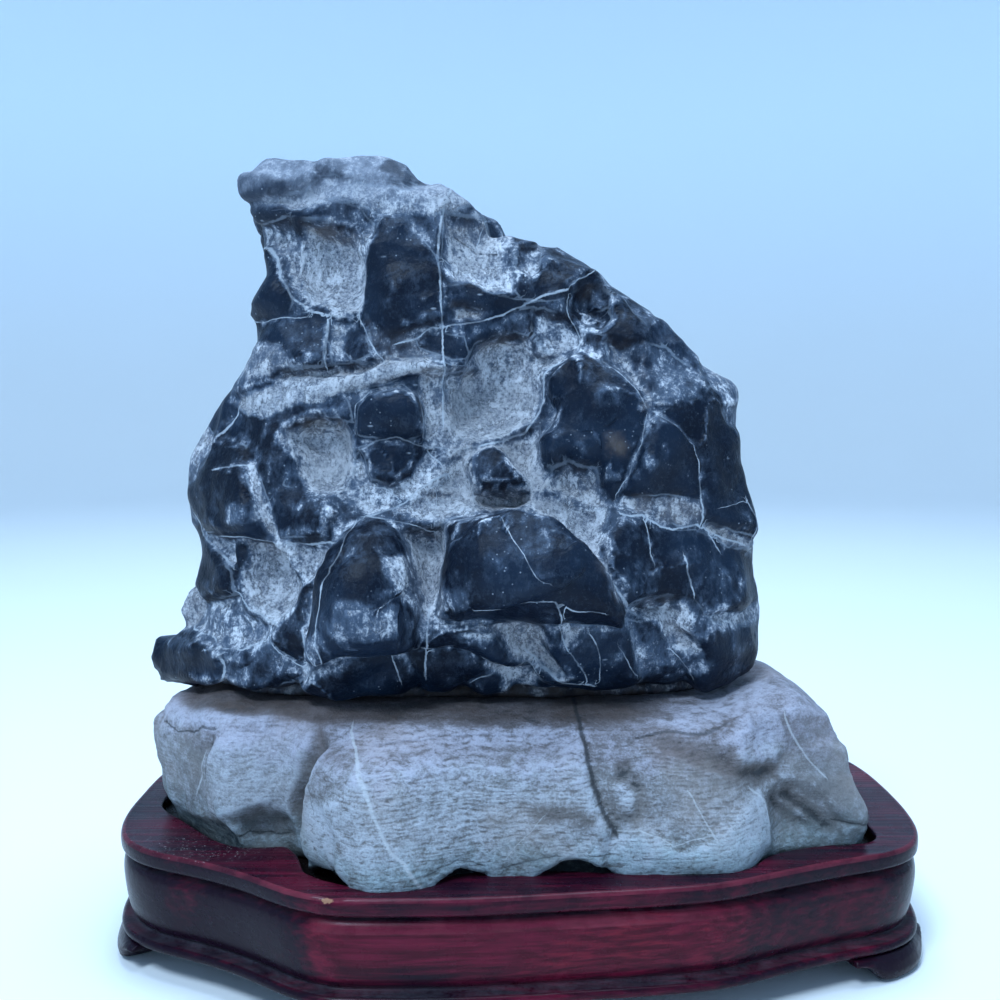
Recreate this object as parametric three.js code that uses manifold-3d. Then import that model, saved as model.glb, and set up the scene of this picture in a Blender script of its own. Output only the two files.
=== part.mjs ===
// A scholars rock: a dark, veined limestone peak on a wider slab of pale limestone, seated in the
// recess of a carved and lacquered wooden stand with four scroll feet.
//
// Millimetres, +Z up, the front faces -Y. The origin is the middle of the footprint, on the
// surface that the object stands on. Every piece is one closed solid, and pieces that touch keep
// CONTACT_GAP between them.

import * as THREE from "three";
import { mergeVertices } from "three/addons/utils/BufferGeometryUtils.js";
import Module from "manifold-3d";

const wasm = await Module();
wasm.setup();

// ---------------------------------------------------------------- driving dimensions

const CONTACT_GAP = 0.3;
const STAND_HEIGHT = 41;
const FOOT_HEIGHT = 9;
const RECESS_DEPTH = 5;
const PALE_STONE_TOP = 82;
const DARK_STONE_TOP = 262;

const STAND_RING_POINTS = 84;
const PALE_RING_POINTS = 84;
const DARK_RING_POINTS = 64;
const DARK_RING_STEP = 7.5;
const FOOT_STATIONS = 16;

// ---------------------------------------------------------------- outlines, seen from above

// The stand's rim, from the middle of the front round to the right: straight sides and soft bends.
const STAND_OUTLINE = [
  [-10, -82.5], [21, -79], [42, -76.5], [60, -73], [79, -65], [100, -56.5], [116, -51], [125, -44],
  [130, -33], [132.5, -18], [133, 5], [132, 24], [129, 37], [123, 47], [110, 54], [88, 63],
  [62, 76], [40, 81], [0, 82], [-40, 81], [-70, 73], [-90, 64], [-110, 55], [-123, 46],
  [-129, 36], [-132.5, 22], [-133, 0], [-132.5, -18], [-129, -34], [-124, -43], [-114, -51],
  [-98, -58], [-82, -67], [-68, -77], [-56, -82.5], [-38, -83.5],
];

// The pale slab at its widest, in the same order. The front block stands forward of both ends.
const PALE_OUTLINE = [
  [-28, -71], [-15, -65], [10, -64], [38, -66], [66, -64], [78, -52], [96, -45], [113, -42],
  [114, -20], [111, 10], [99, 33], [62, 46], [0, 50], [-60, 46], [-100, 34], [-119, 12],
  [-123, -10], [-112, -24], [-88, -47], [-70, -46], [-58, -60], [-42, -75],
];
const PALE_CENTRE = [-4, -10];

// The recess follows the slab's foot, with a wider pocket beside the front block.
const RECESS_POCKET = [[-74, -44], [-68, -53], [-64, -65], [-58, -70], [-49, -74.5], [-40, -75.5],
  [-30, -60]];

// ---------------------------------------------------------------- profiles, from the bottom up

// The stand's moulding, as [inset from the rim, height]: bead, groove, cushion, groove and lip.
const STAND_MOULDING = [
  [0.8, FOOT_HEIGHT], [-0.3, 9.8], [-0.2, 11.1], [1.2, 12], [3.2, 12.5], [4, 13.1],
  [3.1, 14.2], [2.2, 17], [1.4, 21], [0.8, 26], [0.7, 29.5], [1.3, 32.2], [2.7, 33.7],
  [3.7, 34.8], [1.2, 35.6], [0.1, 36.6], [0, 39], [0.4, 40.5], [1.5, STAND_HEIGHT],
];

// The pale slab, as [scale along X, scale along Y, lean to the left, height], from its seat in the
// recess to its top.
const PALE_PROFILE = [
  [0.955, 0.955, 0, STAND_HEIGHT - RECESS_DEPTH + CONTACT_GAP], [0.975, 0.975, 0, STAND_HEIGHT],
  [0.995, 0.99, 1, 46], [0.992, 0.97, 2, 55], [0.99, 0.94, 4, 64], [0.985, 0.9, 5, 71],
  [0.965, 0.86, 5.5, 75.5], [0.925, 0.78, 5, 79.5], [0.86, 0.64, 4.5, 81.4],
  [0.72, 0.45, 4, PALE_STONE_TOP], [0.3, 0.2, 4, PALE_STONE_TOP],
];

// The dark peak, as [height, x] for its two side edges and [height, y] for its front and back.
const DARK_LEFT_EDGE = [
  [82, -108], [86, -119], [91, -127], [98, -117], [117, -110], [127, -108], [136, -110],
  [157, -112], [170, -106], [184, -97], [192, -92], [205, -87], [212, -89], [222, -85],
  [232, -85], [244, -89], [252, -93], [257, -91], [261, -85],
];
const DARK_RIGHT_EDGE = [
  [82, 67], [90, 82], [103, 84], [129, 81], [149, 79], [166, 75], [184, 74], [192, 63],
  [208, 50], [214, 39], [225, 23], [233, 3], [242, -12], [250, -22], [258, -37], [261, -45],
];
const DARK_FRONT = [
  [82, -24], [92, -31], [112, -34], [135, -31], [165, -26], [195, -21], [225, -16], [250, -11],
  [263, -4],
];
const DARK_BACK = [
  [82, 40], [95, 44], [130, 42], [165, 36], [200, 30], [230, 24], [252, 19], [263, 11],
];

// Swellings (positive) and water-worn hollows (negative) of the dark peak's front and back, as
// [x, z, half width, half height, depth].
const DARK_FRONT_RELIEF = [
  [8, 120, 26, 26, 7], [-52, 116, 20, 20, 6], [47, 163, 17, 22, 5], [1, 183, 22, 20, -7],
  [-63, 218, 15, 16, -5], [5, 222, 12, 14, -4], [-66, 160, 14, 14, -5], [-82, 122, 12, 20, -5],
  [62, 112, 16, 22, 4], [-28, 165, 12, 22, -4], [-42, 205, 12, 16, 4], [-36, 176, 9, 9, 4],
];
const DARK_BACK_RELIEF = [
  [-60, 120, 26, 22, -6], [-10, 110, 22, 18, 5], [40, 125, 24, 24, -5], [-70, 175, 20, 22, 4],
  [-20, 165, 26, 24, -7], [35, 180, 20, 18, 5], [-55, 225, 18, 20, -4], [-10, 215, 16, 14, 4],
];

// ---------------------------------------------------------------- small geometry helpers

// A closed, softly rounded curve through outline points, as evenly spaced [x, y] points.
function smoothOutline(points, count) {
  const corners = points.map(([x, y]) => new THREE.Vector3(x, y, 0));
  const curve = new THREE.CatmullRomCurve3(corners, true, "centripetal");
  return curve.getSpacedPoints(count).slice(0, count).map((p) => [p.x, p.y]);
}

// The same outline moved inward by a distance, along the normal at each point.
function insetOutline(outline, inset) {
  const count = outline.length;
  return outline.map(([x, y], i) => {
    const before = outline[(i + count - 1) % count];
    const after = outline[(i + 1) % count];
    const along = new THREE.Vector2(after[0] - before[0], after[1] - before[1]).normalize();
    return [x - along.y * inset, y + along.x * inset];
  });
}

function scaleOutline(outline, [centreX, centreY], scaleX, scaleY) {
  return outline.map(([x, y]) => [
    centreX + (x - centreX) * scaleX, centreY + (y - centreY) * scaleY,
  ]);
}

// The value at a height, read along a list of [height, value] with straight lines between them.
function valueAt(table, height) {
  if (height <= table[0][0]) return table[0][1];
  for (let i = 1; i < table.length; i += 1) {
    const [lowZ, lowValue] = table[i - 1];
    const [highZ, highValue] = table[i];
    if (height <= highZ) {
      return THREE.MathUtils.mapLinear(height, lowZ, highZ, lowValue, highValue);
    }
  }
  return table[table.length - 1][1];
}

// A closed body from rings of [x, y, z] points. Every ring has the same number of points,
// counter-clockwise seen from above, and the rings go up. Each end closes on a middle point.
function stackRings(rings) {
  const count = rings[0].length;
  const positions = rings.flat(2);
  const faces = [];
  for (let level = 0; level + 1 < rings.length; level += 1) {
    for (let i = 0; i < count; i += 1) {
      const a = level * count + i;
      const b = level * count + (i + 1) % count;
      faces.push(a, b, b + count, a, b + count, a + count);
    }
  }
  const closeEnd = (ring, start, upward) => {
    const middle = positions.length / 3;
    const mean = [0, 1, 2].map((axis) => ring.reduce((sum, p) => sum + p[axis], 0) / count);
    positions.push(...mean);
    for (let i = 0; i < count; i += 1) {
      const a = start + i;
      const b = start + (i + 1) % count;
      faces.push(...(upward ? [a, b, middle] : [b, a, middle]));
    }
  };
  closeEnd(rings[0], 0, false);
  closeEnd(rings[rings.length - 1], (rings.length - 1) * count, true);
  return bufferGeometry(positions, faces);
}

function bufferGeometry(positions, faces) {
  const geometry = new THREE.BufferGeometry();
  geometry.setAttribute("position", new THREE.Float32BufferAttribute(positions, 3));
  geometry.setIndex(faces);
  return geometry;
}

// One solid less another, by way of manifold-3d.
function subtract(geometry, cutter) {
  const [body, tool] = [geometry, cutter].map((source) => {
    const bare = source.clone();
    bare.deleteAttribute("normal");
    bare.deleteAttribute("uv");
    const merged = mergeVertices(bare);
    return new wasm.Manifold(new wasm.Mesh({
      numProp: 3,
      vertProperties: merged.attributes.position.array,
      triVerts: new Uint32Array(merged.index.array),
    }));
  });
  const result = body.subtract(tool).getMesh();
  return bufferGeometry(result.vertProperties, Array.from(result.triVerts));
}

// ---------------------------------------------------------------- the stand

function standBodyGeometry() {
  const rim = smoothOutline(STAND_OUTLINE, STAND_RING_POINTS);
  const rings = STAND_MOULDING.map(([inset, height]) => (
    insetOutline(rim, inset).map(([x, y]) => [x, y, height])
  ));
  const body = stackRings(rings);
  const withRecess = subtract(body, prism(smoothOutline(PALE_OUTLINE, PALE_RING_POINTS)));
  return subtract(withRecess, prism(RECESS_POCKET));
}

// An upright cutter with the outline's plan, from the recess floor to above the top.
function prism(outline) {
  const shape = new THREE.Shape(outline.map(([x, y]) => new THREE.Vector2(x, y)));
  const geometry = new THREE.ExtrudeGeometry(shape, {
    depth: RECESS_DEPTH * 2, bevelEnabled: false,
  });
  return geometry.translate(0, 0, STAND_HEIGHT - RECESS_DEPTH);
}

// A scroll foot under one bend: a band that follows the rim, full height in its middle, with its
// two ends curving up to thin tips. `bend` is the place of its middle, as [x, y] near the rim.
function footGeometry(bend) {
  const reach = 21;
  const tipThickness = 2.4;
  const top = FOOT_HEIGHT - CONTACT_GAP;
  const rim = new THREE.CatmullRomCurve3(
    STAND_OUTLINE.map(([x, y]) => new THREE.Vector3(x, y, 0)), true, "centripetal");
  const length = rim.getLength();
  const middle = nearestAlong(rim, bend);
  const sections = [];
  for (let i = 0; i <= FOOT_STATIONS; i += 1) {
    const side = i / FOOT_STATIONS * 2 - 1;
    const at = THREE.MathUtils.euclideanModulo(middle + side * reach / length, 1);
    const point = rim.getPointAt(at);
    const along = rim.getTangentAt(at);
    const inward = new THREE.Vector3(-along.y, along.x, 0);
    const rise = THREE.MathUtils.smoothstep(Math.abs(side), 0.42, 0.86);
    const bottom = (top - tipThickness) * rise;
    sections.push(footSection(point, inward, bottom, top));
  }
  return stackSections(sections);
}

function nearestAlong(curve, [x, y]) {
  const steps = 400;
  const target = new THREE.Vector3(x, y, 0);
  let best = 0;
  for (let i = 1; i < steps; i += 1) {
    const closer = curve.getPointAt(i / steps).distanceTo(target)
      < curve.getPointAt(best / steps).distanceTo(target);
    if (closer) best = i;
  }
  return best / steps;
}

// The foot's upright section at one place along the rim: its outer face swells past the rim and
// tucks under at the bottom.
function footSection(point, inward, bottom, top) {
  const innerInset = 9;
  const outerFace = [[0.6, 1], [-0.9, 0.75], [-2, 0.4], [-1.4, 0.12], [0.8, 0]];
  const profile = outerFace.map(([inset, part]) => [inset, THREE.MathUtils.lerp(bottom, top, part)]);
  profile.push([innerInset, bottom], [innerInset, top]);
  return profile.map(([inset, height]) => [
    point.x + inward.x * inset, point.y + inward.y * inset, height,
  ]);
}

// A closed body from upright sections placed one after another, with flat ends.
function stackSections(sections) {
  const count = sections[0].length;
  const faces = [];
  for (let station = 0; station + 1 < sections.length; station += 1) {
    for (let i = 0; i < count; i += 1) {
      const a = station * count + i;
      const b = station * count + (i + 1) % count;
      faces.push(a, b, b + count, a, b + count, a + count);
    }
  }
  const last = (sections.length - 1) * count;
  for (let i = 1; i + 1 < count; i += 1) {
    faces.push(0, i + 1, i);
    faces.push(last, last + i, last + i + 1);
  }
  return bufferGeometry(sections.flat(2), faces);
}

// ---------------------------------------------------------------- the stones

function paleStoneGeometry() {
  const outline = smoothOutline(PALE_OUTLINE, PALE_RING_POINTS);
  const rings = PALE_PROFILE.map(([scaleX, scaleY, lean, height]) => (
    scaleOutline(outline, PALE_CENTRE, scaleX, scaleY).map(([x, y]) => [x - lean, y, height])
  ));
  return stackRings(rings);
}

function darkStoneGeometry() {
  const rings = [];
  const bottom = PALE_STONE_TOP + CONTACT_GAP;
  const levels = Math.round((DARK_STONE_TOP - bottom) / DARK_RING_STEP);
  for (let level = 0; level < levels; level += 1) {
    const height = THREE.MathUtils.lerp(bottom, DARK_STONE_TOP - 1.2, level / (levels - 1));
    rings.push(darkRing(height));
  }
  rings.push(shrinkRing(rings[rings.length - 1], 0.6, DARK_STONE_TOP));
  return stackRings(rings);
}

// One level slice of the dark peak: a squared oval between its four edges, with the relief added.
// Towards the beak at the lower left, the slice narrows to a wedge.
function darkRing(height) {
  const squareness = 0.62;
  const beakRoot = -84;
  const beakTip = -127;
  const beakNarrowing = 0.7;
  const left = valueAt(DARK_LEFT_EDGE, height);
  const right = valueAt(DARK_RIGHT_EDGE, height);
  const front = valueAt(DARK_FRONT, height);
  const back = valueAt(DARK_BACK, height);
  const ring = [];
  for (let i = 0; i < DARK_RING_POINTS; i += 1) {
    const angle = i / DARK_RING_POINTS * Math.PI * 2 - Math.PI / 2;
    const across = softPower(Math.cos(angle), squareness);
    const deep = softPower(Math.sin(angle), squareness);
    const x = (left + right) / 2 + across * (right - left) / 2;
    const relief = deep < 0 ? DARK_FRONT_RELIEF : DARK_BACK_RELIEF;
    const swelling = (reliefAt(relief, x, height) + weathering(x, height)) * Math.abs(deep);
    const narrowing = 1 - beakNarrowing * THREE.MathUtils.smoothstep(-x, -beakRoot, -beakTip);
    const halfDepth = (deep * (back - front) / 2 + Math.sign(deep) * swelling) * narrowing;
    ring.push([x, (front + back) / 2 + halfDepth, height]);
  }
  return ring;
}

// Shallow waves left by running water.
function weathering(x, z) {
  return 1.3 * Math.sin(x * 0.21 + z * 0.07) * Math.sin(z * 0.17 - x * 0.05 + 1);
}

function softPower(value, power) {
  return Math.sign(value) * Math.abs(value) ** power;
}

function reliefAt(relief, x, z) {
  return relief.reduce((sum, [centreX, centreZ, halfWidth, halfHeight, depth]) => {
    const away = ((x - centreX) / halfWidth) ** 2 + ((z - centreZ) / halfHeight) ** 2;
    return sum + depth * Math.exp(-away);
  }, 0);
}

function shrinkRing(ring, scale, height) {
  const centre = [0, 1].map((axis) => ring.reduce((sum, p) => sum + p[axis], 0) / ring.length);
  return scaleOutline(ring, centre, scale, scale).map(([x, y]) => [x, y, height]);
}

// ---------------------------------------------------------------- materials and the object

const darkLimestone = new THREE.MeshStandardMaterial({ color: 0x27303f, roughness: 0.6 });
const paleLimestone = new THREE.MeshStandardMaterial({ color: 0x98a5b4, roughness: 0.8 });
const lacqueredWood = new THREE.MeshStandardMaterial({ color: 0x431820, roughness: 0.35 });

function namedMesh(name, geometry, material) {
  const mesh = new THREE.Mesh(geometry, material.clone());
  mesh.name = name;
  return mesh;
}

const FEET = {
  stand_foot_front_left: [-131, -28],
  stand_foot_front_right: [122, -48],
  stand_foot_back_left: [-123, 46],
  stand_foot_back_right: [123, 47],
};

const scholarsRock = new THREE.Group();
scholarsRock.add(namedMesh("stand_body", standBodyGeometry(), lacqueredWood));
for (const [name, bend] of Object.entries(FEET)) {
  scholarsRock.add(namedMesh(name, footGeometry(bend), lacqueredWood));
}
scholarsRock.add(namedMesh("pale_base_stone", paleStoneGeometry(), paleLimestone));
scholarsRock.add(namedMesh("dark_stone", darkStoneGeometry(), darkLimestone));

// The outlines are drawn about the middle of the rim. The origin is the middle of the footprint.
const footprint = new THREE.Box3().setFromObject(scholarsRock).getCenter(new THREE.Vector3());
scholarsRock.position.set(-footprint.x, -footprint.y, 0);

export default scholarsRock;
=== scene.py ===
"""The looks of a scholars rock: a dark veined limestone peak on a pale slab, in a lacquered stand.

Everything is in metres in the frame of the CAD model. The lists of shapes below are in
millimetres on the upright plane of the rock's front: x to the right, z up from the table.
"""

import math

import bmesh
import bpy
import numpy as np
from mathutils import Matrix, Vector


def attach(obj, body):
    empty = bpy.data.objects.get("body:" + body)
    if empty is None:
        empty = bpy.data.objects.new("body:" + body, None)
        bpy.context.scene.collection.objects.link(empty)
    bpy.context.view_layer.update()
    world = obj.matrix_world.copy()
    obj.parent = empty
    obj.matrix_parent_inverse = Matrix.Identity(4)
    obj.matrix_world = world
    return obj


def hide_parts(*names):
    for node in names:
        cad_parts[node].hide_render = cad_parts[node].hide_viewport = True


MM = 0.001

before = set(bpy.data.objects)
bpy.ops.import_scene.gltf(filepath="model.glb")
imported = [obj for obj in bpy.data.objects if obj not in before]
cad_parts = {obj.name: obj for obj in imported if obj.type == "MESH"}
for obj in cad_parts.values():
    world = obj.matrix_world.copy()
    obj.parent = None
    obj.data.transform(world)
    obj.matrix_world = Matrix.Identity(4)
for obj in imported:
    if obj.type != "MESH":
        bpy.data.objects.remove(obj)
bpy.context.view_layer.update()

# Distances that stand for "nothing near here": far from any line, from a vein and from a rim.
FAR = 1000.0
NO_VEIN = 60.0
NO_RIM = 9.0


# ---------------------------------------------------------------- noise, seeded and repeatable

def smooth_step(low, high, value):
    t = np.clip((value - low) / (high - low), 0.0, 1.0)
    return t * t * (3.0 - 2.0 * t)


def blend(a, b, amount):
    return a + (b - a) * amount


def lattice_value(cell, seed):
    """A repeatable random number from 0 to 1 for each whole-numbered lattice cell."""
    mixed = cell[..., 0] * 374761393 + cell[..., 1] * 668265263 + cell[..., 2] * 1274126177
    mixed = (mixed + seed * 974634777) & 0xFFFFFFFF
    mixed = ((mixed ^ (mixed >> 13)) * 1274126177) & 0xFFFFFFFF
    mixed = ((mixed ^ (mixed >> 16)) * 668265263) & 0xFFFFFFFF
    return ((mixed ^ (mixed >> 15)) & 0xFFFFFF) / float(0x1000000)


def soft_noise(points, size, seed):
    """Smooth noise from -1 to 1, whose bumps are about `size` mm apart."""
    scaled = points / size
    cell = np.floor(scaled).astype(np.int64)
    part = scaled - cell
    part = part * part * part * (part * (part * 6.0 - 15.0) + 10.0)
    total = np.zeros(len(points))
    for corner in np.ndindex(2, 2, 2):
        weight = np.prod(np.where(np.array(corner) == 1, part, 1.0 - part), axis=1)
        total += weight * lattice_value(cell + np.array(corner), seed)
    return total * 2.0 - 1.0


def fractal_noise(points, size, seed, octaves, gain=0.5):
    """Soft noise with finer and weaker noise on top, from -1 to 1."""
    total = np.zeros(len(points))
    reach = 0.0
    for octave in range(octaves):
        strength = gain ** octave
        total += strength * soft_noise(points, size / 2.0 ** octave, seed + octave)
        reach += strength
    return total / reach


def cell_pattern(points, size, seed):
    """Irregular cells about `size` mm across: distance to the nearest border, and a number from
    0 to 1 and a tilt for each point's own cell."""
    scaled = points / size
    home = np.floor(scaled).astype(np.int64)
    nearest = np.full(len(points), FAR)
    second = np.full(len(points), FAR)
    owner = np.zeros(len(points))
    offset = np.zeros((len(points), 3))
    for step in np.ndindex(3, 3, 3):
        cell = home + np.array(step) - 1
        jitter = np.stack([lattice_value(cell, seed + axis) for axis in range(3)], axis=1)
        away = cell + jitter - scaled
        distance = np.linalg.norm(away, axis=1)
        closer = distance < nearest
        second = np.where(closer, nearest, np.minimum(second, distance))
        owner = np.where(closer, lattice_value(cell, seed + 7), owner)
        offset = np.where(closer[:, None], away, offset)
        nearest = np.where(closer, distance, nearest)
    return (second - nearest) * size, owner, offset * size


# ---------------------------------------------------------------- shapes drawn on the front

# How far in from its edge a hollow is at full depth, in mm. A crown lower than LOW_CROWN rises
# within LOW_CROWN_REACH of the edge and is flat inside that.
HOLLOW_WALL = 12.0
LOW_CROWN = 4.0
LOW_CROWN_REACH = 6.0
FULL_CROWN_REACH = 9.0

# How many mm a stain takes to fade out at the edge of a shape.
HOLLOW_SOFTNESS = 4.5
SWELLING_SOFTNESS = 2.5
STAIN_SOFTNESS = 3.0


def segment_distance(x, z, start, end):
    along = np.array(end, float) - np.array(start, float)
    length = max(along @ along, 1e-9)
    t = np.clip(((x - start[0]) * along[0] + (z - start[1]) * along[1]) / length, 0.0, 1.0)
    return np.hypot(x - start[0] - along[0] * t, z - start[1] - along[1] * t)


def inside_distance(x, z, outline):
    """How far each point is inside a closed outline, negative outside."""
    nearest = np.full(len(x), FAR)
    inside = np.zeros(len(x), bool)
    for start, end in zip(outline, outline[1:] + outline[:1]):
        nearest = np.minimum(nearest, segment_distance(x, z, start, end))
        if start[1] != end[1]:
            crossing = (start[1] > z) != (end[1] > z)
            at = start[0] + (end[0] - start[0]) * (z - start[1]) / (end[1] - start[1])
            inside ^= crossing & (x < at)
    return np.where(inside, nearest, -nearest)


def line_side(x, z, route):
    """Distance to a line, negative on its right-hand side."""
    closest = np.full(len(x), FAR)
    side = np.ones(len(x))
    for start, end in zip(route, route[1:]):
        distance = segment_distance(x, z, start, end)
        turn = (end[0] - start[0]) * (z - start[1]) - (end[1] - start[1]) * (x - start[0])
        side = np.where(distance < closest, np.where(turn < 0.0, -1.0, 1.0), side)
        closest = np.minimum(closest, distance)
    return closest * side


def crown_shape(depth, reach):
    """Rises quickly from the edge and flattens towards the middle, from 0 to 1."""
    t = np.clip(depth / reach, 0.0, 1.0)
    return np.sqrt(1.0 - (1.0 - t) ** 2)


class Relief:
    """Heights and stains of a stone's front, laid one shape over another."""

    def __init__(self, points, height, pale, tilt):
        self.x = points[:, 0] + fractal_noise(points, 7.0, 11, 3)
        self.z = points[:, 2] + fractal_noise(points, 7.0, 23, 3)
        self.ragged = 1.6 * fractal_noise(points, 3.0, 31, 3)
        self.height = np.full(len(points), height)
        self.pale = np.full(len(points), pale)
        self.brown = np.zeros(len(points))
        self.rim = np.full(len(points), NO_RIM)
        self.tilt = tilt
        self.random = np.random.default_rng(5)

    def lay(self, height, crown, pale, brown, outline):
        """A swelling stands `height` proud and `crown` higher in its middle, and leans a little.
        A hollow, whose height is below 0, is deepest near its top, where painted shade makes it
        browner and less pale."""
        depth = inside_distance(self.x, self.z, outline)
        reach = max(depth.max(), 2.0)
        middle_x, middle_z = np.mean(outline, axis=0)
        tallest = max(abs(point[1] - middle_z) for point in outline)
        up = np.clip((self.z - middle_z) / tallest, -1.0, 1.0)
        lean = self.random.uniform(-self.tilt, self.tilt, 2)
        if height < 0.0:
            shallowness = 1.0 - np.clip(depth / min(reach, HOLLOW_WALL), 0.0, 1.0)
            target = height * (1.0 - shallowness ** 2) * (1.25 + 0.4 * up)
            cover = smooth_step(-0.8, 0.8, depth)
            # painted shade at the top of a hollow: less pale there, and browner
            pale = pale * (0.95 - 0.2 * up)
            brown = np.maximum(brown, 0.6 * smooth_step(0.45, 1.0, up))
            softness = HOLLOW_SOFTNESS
        else:
            if crown < LOW_CROWN:
                reach = min(reach, LOW_CROWN_REACH)
            boulder = crown_shape(depth, reach) * np.clip(reach / FULL_CROWN_REACH, 0.5, 1.7)
            slope = lean[0] * (self.x - middle_x) + lean[1] * (self.z - middle_z)
            target = height + crown * boulder * (1.0 - 0.2 * up) + slope
            cover = smooth_step(-1.5, 1.5, depth)
            softness = SWELLING_SOFTNESS
        self.height = blend(self.height, target, cover)
        self.stain(pale, brown, depth, softness)
        self.rim = np.where((depth > 0.0) | (-depth < np.abs(self.rim)), depth, self.rim)

    def stain(self, pale, brown, depth, softness):
        cover = smooth_step(-0.4 * softness, 0.8 * softness, depth + self.ragged)
        self.pale = blend(self.pale, pale, cover)
        self.brown = blend(self.brown, brown, cover)

    def stain_inside(self, pale, brown, outline):
        self.stain(pale, brown, inside_distance(self.x, self.z, outline), STAIN_SOFTNESS)
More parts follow.
